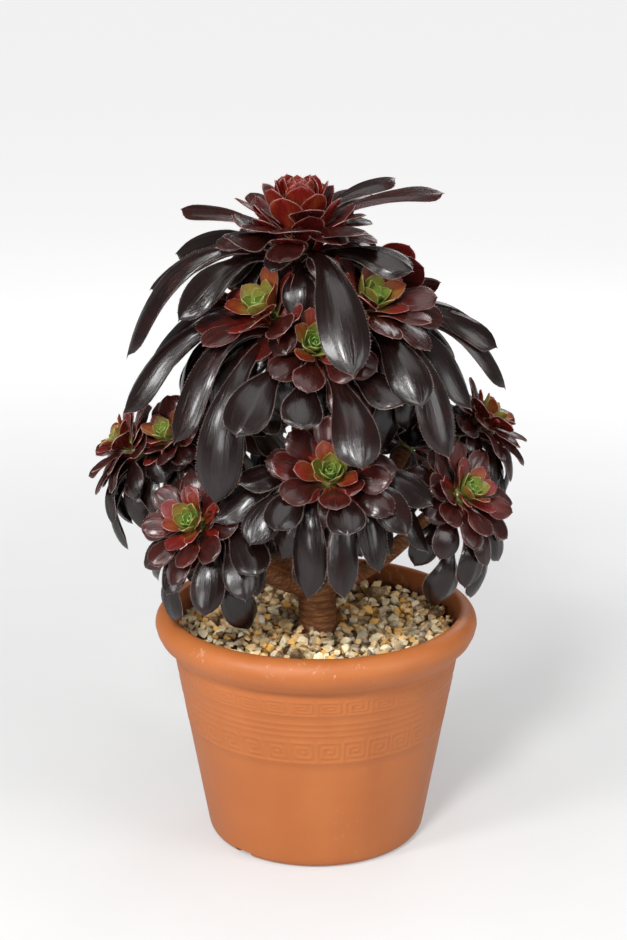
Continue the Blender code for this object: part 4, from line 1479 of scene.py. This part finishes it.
class Rosette:
    """A crown of leaves: placed ones, ones that follow the spiral, red inner ones and a tight heart."""

    def __init__(self, name, look, garden, chance):
        self.name, self.look, self.garden, self.chance = name, look, garden, chance
        _, _, _, radius, length = ROSETTES[name]
        self.radius, self.length = radius * MM, length
        self.axis = rosette_axis(name)
        self.crown = crown(name)
        self.across, self.other = across_to(self.axis, toward(ROSETTES[name][0] + 90))
        self.maker = LeafMaker(look, chance)
        self.start = chance.uniform(0, 360)
        self.habit = HABITS[name == "leader"]

    def around(self, degrees):
        angle = math.radians(degrees)
        return self.across * math.cos(angle) + self.other * math.sin(angle)

    def lean(self, out, angle):
        """The direction of the axis, leaned outwards by an angle."""
        return self.axis * math.cos(angle) + out * math.sin(angle)

    def keep_light(self):
        """Keeps the space over the heart free of other rosettes' leaves, as a growing plant does."""
        middle = self.crown + self.axis * (LIGHT_START + LIGHT_DEPTH / 2) * MM
        bm = bmesh.new()
        radii = [radius * MM for radius in LIGHT_RADII]
        add_cone(bm, LIGHT_SIDES, radii, LIGHT_DEPTH * MM, facing(self.axis, middle))
        self.garden.add_solid(bm)

    def new_leaf(self, root, heading, tip, width, hint, age, curl=0.0):
        return Leaf(root, heading, tip, width * MM, hint, age, curl, self.look.thickness, self.chance)

    def keep(self, leaf, small=False):
        self.garden.add_leaf(leaf)
        self.maker.add(leaf, small)

    def place(self, bearing, reach, rise, width, set_out):
        """A leaf whose tip has its own place, bent a little if something is in its way."""
        habit = PLACED_HABITS[rise > RAISED_LEAF]
        tip = self.crown + (toward(bearing) * reach * PLACED_REACH + UP * rise) * MM
        height = core_length(self.name) * habit["root"]
        age = self.chance.uniform(*habit["age"])
        roll = UP * habit["roll"] * math.sin(math.radians(bearing))
        curl = self.chance.uniform(*habit["curl"])
        first = None
        for lift, turn, share in product(PLACE_LIFTS, PLACE_TURNS, PLACE_SHARES):
            level = math.radians(set_out + lift)
            heading = toward(bearing) * math.cos(level) + UP * math.sin(level)
            out = (heading - self.axis * heading.dot(self.axis)).normalized()
            root = self.crown + self.axis * height + out * self.radius * MATURE_ROOT
            aim = self.crown + (tip - self.crown) * share
            leaf = self.new_leaf(root, heading, aim, width, toward(bearing - 90 + turn) - roll, age, curl)
            first = first or leaf
            if self.garden.is_clear(leaf):
                self.keep(leaf)
                return
        self.keep(first)

    def sprout(self, index, count):
        """A leaf that follows the spiral: the oldest are lowest, longest and hang most."""
        old = 1 - index / (count - 1)
        age, height = between(SPROUT["age"], old), core_length(self.name) * between(SPROUT["height"], old)
        scatter = self.chance.uniform(-SPROUT_TURN_CHANCE, SPROUT_TURN_CHANCE)
        turned = self.start + GOLDEN_ANGLE * index + scatter
        curl = self.chance.uniform(*SPROUT_CURL) * old
        for turn, opening, share in product(SPROUT_TURNS, SPROUT_OPENINGS, SPROUT_SHARES):
            out = self.around(turned + turn)
            heading = self.lean(out, math.radians(between(SPROUT["set_out"], old) + opening))
            aim = self.lean(out, math.radians(between(SPROUT["spread"], old) + opening))
            size = self.length * between(SPROUT["size"], old) * share
            root = self.crown + self.axis * height + out * self.radius * MATURE_ROOT
            tip = root + (aim * size * SPROUT_REACH - UP * size * SPROUT_DROOP * old) * MM
            width = between(SPROUT_WIDTH, size)
            leaf = self.new_leaf(root, heading, tip, width, out.cross(self.axis), age, curl)
            if self.garden.is_clear(leaf):
                self.keep(leaf)
                return

    def inner_leaf(self, index, count):
        """The red and olive leaves between the mature ones and the heart."""
        old = 1 - index / (count - 1)
        habit = self.habit
        turned = self.start + GOLDEN_ANGLE * (index + FIRST_INNER)
        out = self.around(turned + self.chance.uniform(-INNER_TURN_CHANCE, INNER_TURN_CHANCE))
        scatter = self.chance.uniform(-INNER_SPREAD_CHANCE, INNER_SPREAD_CHANCE)
        spread = math.radians(between(habit["inner_spread"], old) + scatter)
        size = self.length * between(habit["inner_size"], old) * self.chance.uniform(*INNER_SIZE_CHANCE)
        height = core_length(self.name) * between(habit["inner_height"], old)
        root = self.crown + self.axis * height + out * self.radius * INNER_ROOT
        tip = root + self.lean(out, spread) * size * MM
        heading = self.lean(out, spread * INNER_SET_OUT)
        width = size * habit["inner_width"] + LEAST_INNER_WIDTH
        age = between(habit["inner_age"], old)
        self.maker.add(self.new_leaf(root, heading, tip, width, out.cross(self.axis), age))

    def heart_leaf(self, index, count):
        """The tight spiral of the youngest leaves."""
        old = 1 - index / (count - 1)
        habit = self.habit
        out = self.around(self.start + GOLDEN_ANGLE * (index + FIRST_HEART))
        spread = math.radians(between(habit["heart_spread"], old))
        size = self.length * between(habit["heart_size"], old)
        height = core_length(self.name) * habit["heart_height"]
        root = self.crown + self.axis * height + out * self.radius * between(HEART_ROOT, old)
        heading = (self.axis * math.cos(spread) + out * math.sin(spread * HEART_SPREADS[0])).normalized()
        aim = self.axis * math.cos(spread) + out * math.sin(spread * HEART_SPREADS[1])
        width = size * habit["heart_width"]
        age = between(habit["heart_age"], old)
        leaf = self.new_leaf(root, heading, root + aim * size * MM, width, out.cross(self.axis), age)
        self.maker.add(leaf, small=old < BUD_AGE)

    def add_core(self):
        """The short stub that the leaves stand on, a little narrower at its top."""
        bm = self.maker.new_part()
        radii = (self.radius, self.radius * CORE_TAPER)
        add_cone(bm, CORE_SIDES, radii, core_length(self.name), facing(self.axis, self.crown))
        self.maker.mark(bm, bm.verts, **CORE_MARKS)
        self.maker.join(bm)

    def finish(self, material):
        self.add_core()
        bmesh.ops.recalc_face_normals(self.maker.whole, faces=self.maker.whole.faces)
        mesh = to_mesh(self.maker.whole, f"leaves_{self.name}")
        add_piece(f"leaves_{self.name}", mesh, material, "leaf", f"rosette_{self.name}")


def ripeness(tree, place, age, along, face, streaks):
    """How dark a spot has turned: its leaf's age, held back near the root and on the underside."""
    base = rescale(tree, along, 0.42, 0.06, 0.0, 0.36)
    ripe = minus(tree, age, times(tree, base, rescale(tree, age, 0.2, 0.7)))
    tip = times(tree, minus(tree, along, 0.62), rescale(tree, age, 0.75, 0.3, 0.0, 0.26))
    ripe = plus(tree, ripe, tip)
    ripe = plus(tree, ripe, rescale(tree, noise(tree, place, 90.0, 3.0, 0.55), 0.3, 0.7, -0.05, 0.05))
    ripe = plus(tree, ripe, rescale(tree, streaks, 0.3, 0.7, -0.035, 0.035))
    below = rescale(tree, face, 0.1, -0.3, 0.0, 0.10)
    return minus(tree, ripe, times(tree, below, rescale(tree, age, 0.3, 0.6)))


def leaf_material(look):
    """Waxy skin with a pale margin: green when young, then red, then nearly black and glossier."""
    made, tree, shader = new_material(
        "leaf_skin", specular_ior_level=0.34, coat_weight=0.28, coat_roughness=0.14
    )
    place = object_place(tree)
    age, tone, margin, along, face = (attribute(tree, name) for name in LeafMaker.LAYERS)
    uv = node(tree, "ShaderNodeUVMap", uv_map="UVMap").outputs[0]
    streaks = noise(tree, stretch(tree, uv, (26, 1.6, 1)), 2.2, 4.0, 0.6, times(tree, tone, 37.0))
    shade, fine = fine_grain(tree, place, 1500.0)
    stops = (
        (0.04, look.heart),
        (0.22, look.olive),
        (0.34, look.amber),
        (0.46, look.red),
        (0.68, look.maroon),
        (0.90, look.black),
    )
    colour = ramp(tree, ripeness(tree, place, age, along, face, streaks), stops)
    blush = times(tree, rescale(tree, margin, 2.6, 0.2, 0.0, 0.22), rescale(tree, age, 0.95, 0.55))
    colour = blend(tree, blush, colour, look.red)
    edge = rescale(tree, plus(tree, margin, rescale(tree, shade, 0.3, 0.7, -0.05, 0.2)), 0.34, 0.06)
    pale = ramp(tree, age, ((0.08, look.young_margin), (0.42, look.red_margin), (0.85, look.old_margin)))
    colour = blend(tree, edge, colour, pale)
    colour = blend(tree, times(tree, flecks(tree, place, 1100.0, 0.64), 0.12), colour, DUST)
    gloss = plus(tree, rescale(tree, streaks, 0.3, 0.7, 0.14, 0.30), rescale(tree, age, 0.7, 0.2, 0.0, 0.06))
    gloss = plus(tree, gloss, times(tree, edge, 0.2))
    finish_shader(tree, shader, colour, gloss, plus(tree, streaks, times(tree, fine, 0.22)), 0.45, 0.8)
    return made


class SUCCULENT_OT_leaves(bpy.types.Operator):
    """Grow every rosette: mature leaves, red inner leaves and a green heart"""

    bl_idname = "succulent.leaves"
    bl_label = "Grow Leaves"

    def execute(self, context):
        look = context.scene.succulent_leaf
        chance = random.Random(SEED)
        skin = leaf_material(look)
        garden = Garden()
        for item in bpy.context.scene.objects:
            if item.name.startswith(("ringed_trunk", "limb_", "moulded_pot")):
                solid = bmesh.new()
                solid.from_mesh(item.data)
                garden.add_solid(solid)
        rosettes = [Rosette(name, look, garden, chance) for name in ROSETTES]
        for rosette in rosettes:
            for placed in PLACED_LEAVES.get(rosette.name, ()):
                rosette.place(*placed)
        for rosette in rosettes:
            rosette.keep_light()
        for rosette in rosettes:
            count = SPROUTS_BESIDE_PLACED if rosette.name in PLACED_LEAVES else SPROUT_COUNT
            for index in range(count):
                rosette.sprout(index, count)
        for rosette in rosettes:
            inner_count = rosette.habit["inner_count"]
            for index in range(inner_count):
                rosette.inner_leaf(index, inner_count)
            for index in range(HEART_COUNT):
                rosette.heart_leaf(index, HEART_COUNT)
            rosette.finish(skin)
        return {"FINISHED"}


# ---------------------------------------------------------------- stage


def add_light(name, place, aim, size, power):
    """A square soft box that points at a place."""
    data = bpy.data.lights.new(name, "AREA")
    data.shape = "SQUARE"
    data.size = size
    data.energy = power
    made = bpy.data.objects.new(name, data)
    made.location = place
    made.rotation_euler = (Vector(aim) - Vector(place)).to_track_quat("-Z", "Y").to_euler()
    bpy.context.scene.collection.objects.link(made)


def floor_material(look):
    """A pale floor that glows: more far from the pot, and less in reflections than to the camera."""
    made, tree, shader = new_material(
        "pale_floor", roughness=0.75, specular_ior_level=0.2, emission_strength=1.0
    )
    place = object_place(tree)
    light = rescale(tree, noise(tree, place, 14.0, 3.0), 0.3, 0.7, 0.99, 1.01)
    feed(tree, shader.inputs["Base Color"], blend(tree, 1.0, look.floor, grey(tree, light), "MULTIPLY"))
    glow = rescale(tree, length_of(tree, place), *GLOW_REACH, look.near_glow, look.far_glow)
    seen = node(tree, "ShaderNodeLightPath").outputs["Is Camera Ray"]
    share = node(tree, "ShaderNodeMapRange", {"Value": seen, "To Min": GLOW_IN_REFLECTIONS}).outputs[0]
    feed(tree, shader.inputs["Emission Color"], grey(tree, times(tree, glow, share)))
    return made


class SUCCULENT_OT_stage(bpy.types.Operator):
    """Lay the pale floor and set the soft boxes and the camera"""

    bl_idname = "succulent.stage"
    bl_label = "Set Stage"

    def execute(self, context):
        look = context.scene.succulent_stage
        scene = context.scene
        bm = bmesh.new()
        bmesh.ops.create_grid(bm, x_segments=4, y_segments=4, size=FLOOR_HALF)
        floor = bpy.data.objects.new("floor", to_mesh(bm, "floor"))
        floor.data.materials.append(floor_material(look))
        scene.collection.objects.link(floor)
        world = bpy.data.worlds.new("soft_room")
        world.use_nodes = True
        room = world.node_tree.nodes["Background"]
        room.inputs["Color"].default_value = (1.0, 1.0, 1.0, 1.0)
        room.inputs["Strength"].default_value = look.ambient
        scene.world = world
        for name, (place, aim, size) in SOFT_BOXES.items():
            add_light(f"{name}_box", place, aim, size, getattr(look, f"{name}_power"))
        camera = bpy.data.objects.new("camera", bpy.data.cameras.new("camera"))
        camera.data.sensor_width = CAMERA_SENSOR
        camera.data.lens = CAMERA_LENS
        camera.location = CAMERA_PLACE
        camera.rotation_euler = (math.radians(90 - CAMERA_PITCH), 0, math.radians(CAMERA_TURN))
        scene.collection.objects.link(camera)
        scene.camera = camera
        scene.view_settings.view_transform = "Standard"
        return {"FINISHED"}


# ---------------------------------------------------------------- panel and registration


class SUCCULENT_PT_panel(bpy.types.Panel):
    """Lists the steps that build the plant"""

    bl_idname = "SUCCULENT_PT_panel"
    bl_label = "Potted Succulent"
    bl_space_type = "VIEW_3D"
    bl_region_type = "UI"
    bl_category = "Succulent"

    def draw(self, context):
        for step in STEPS:
            self.layout.operator(step.bl_idname)
        for name, group in SETTINGS.items():
            box = self.layout.box()
            box.label(text=group.__doc__)
            for key in group.__annotations__:
                box.prop(getattr(context.scene, name), key)


STEPS = (
    SUCCULENT_OT_stage,
    SUCCULENT_OT_pot,
    SUCCULENT_OT_mix,
    SUCCULENT_OT_grit,
    SUCCULENT_OT_stems,
    SUCCULENT_OT_leaves,
)
CLASSES = (*SETTINGS.values(), *STEPS, SUCCULENT_PT_panel)


def register():
    for item in CLASSES:
        bpy.utils.register_class(item)
    for name, group in SETTINGS.items():
        setattr(bpy.types.Scene, name, PointerProperty(type=group))


def unregister():
    for name in SETTINGS:
        delattr(bpy.types.Scene, name)
    for item in reversed(CLASSES):
        bpy.utils.unregister_class(item)


def main():
    register()
    for step in STEPS:
        area, name = step.bl_idname.split(".")
        getattr(getattr(bpy.ops, area), name)()


if __name__ == "__main__":
    main()
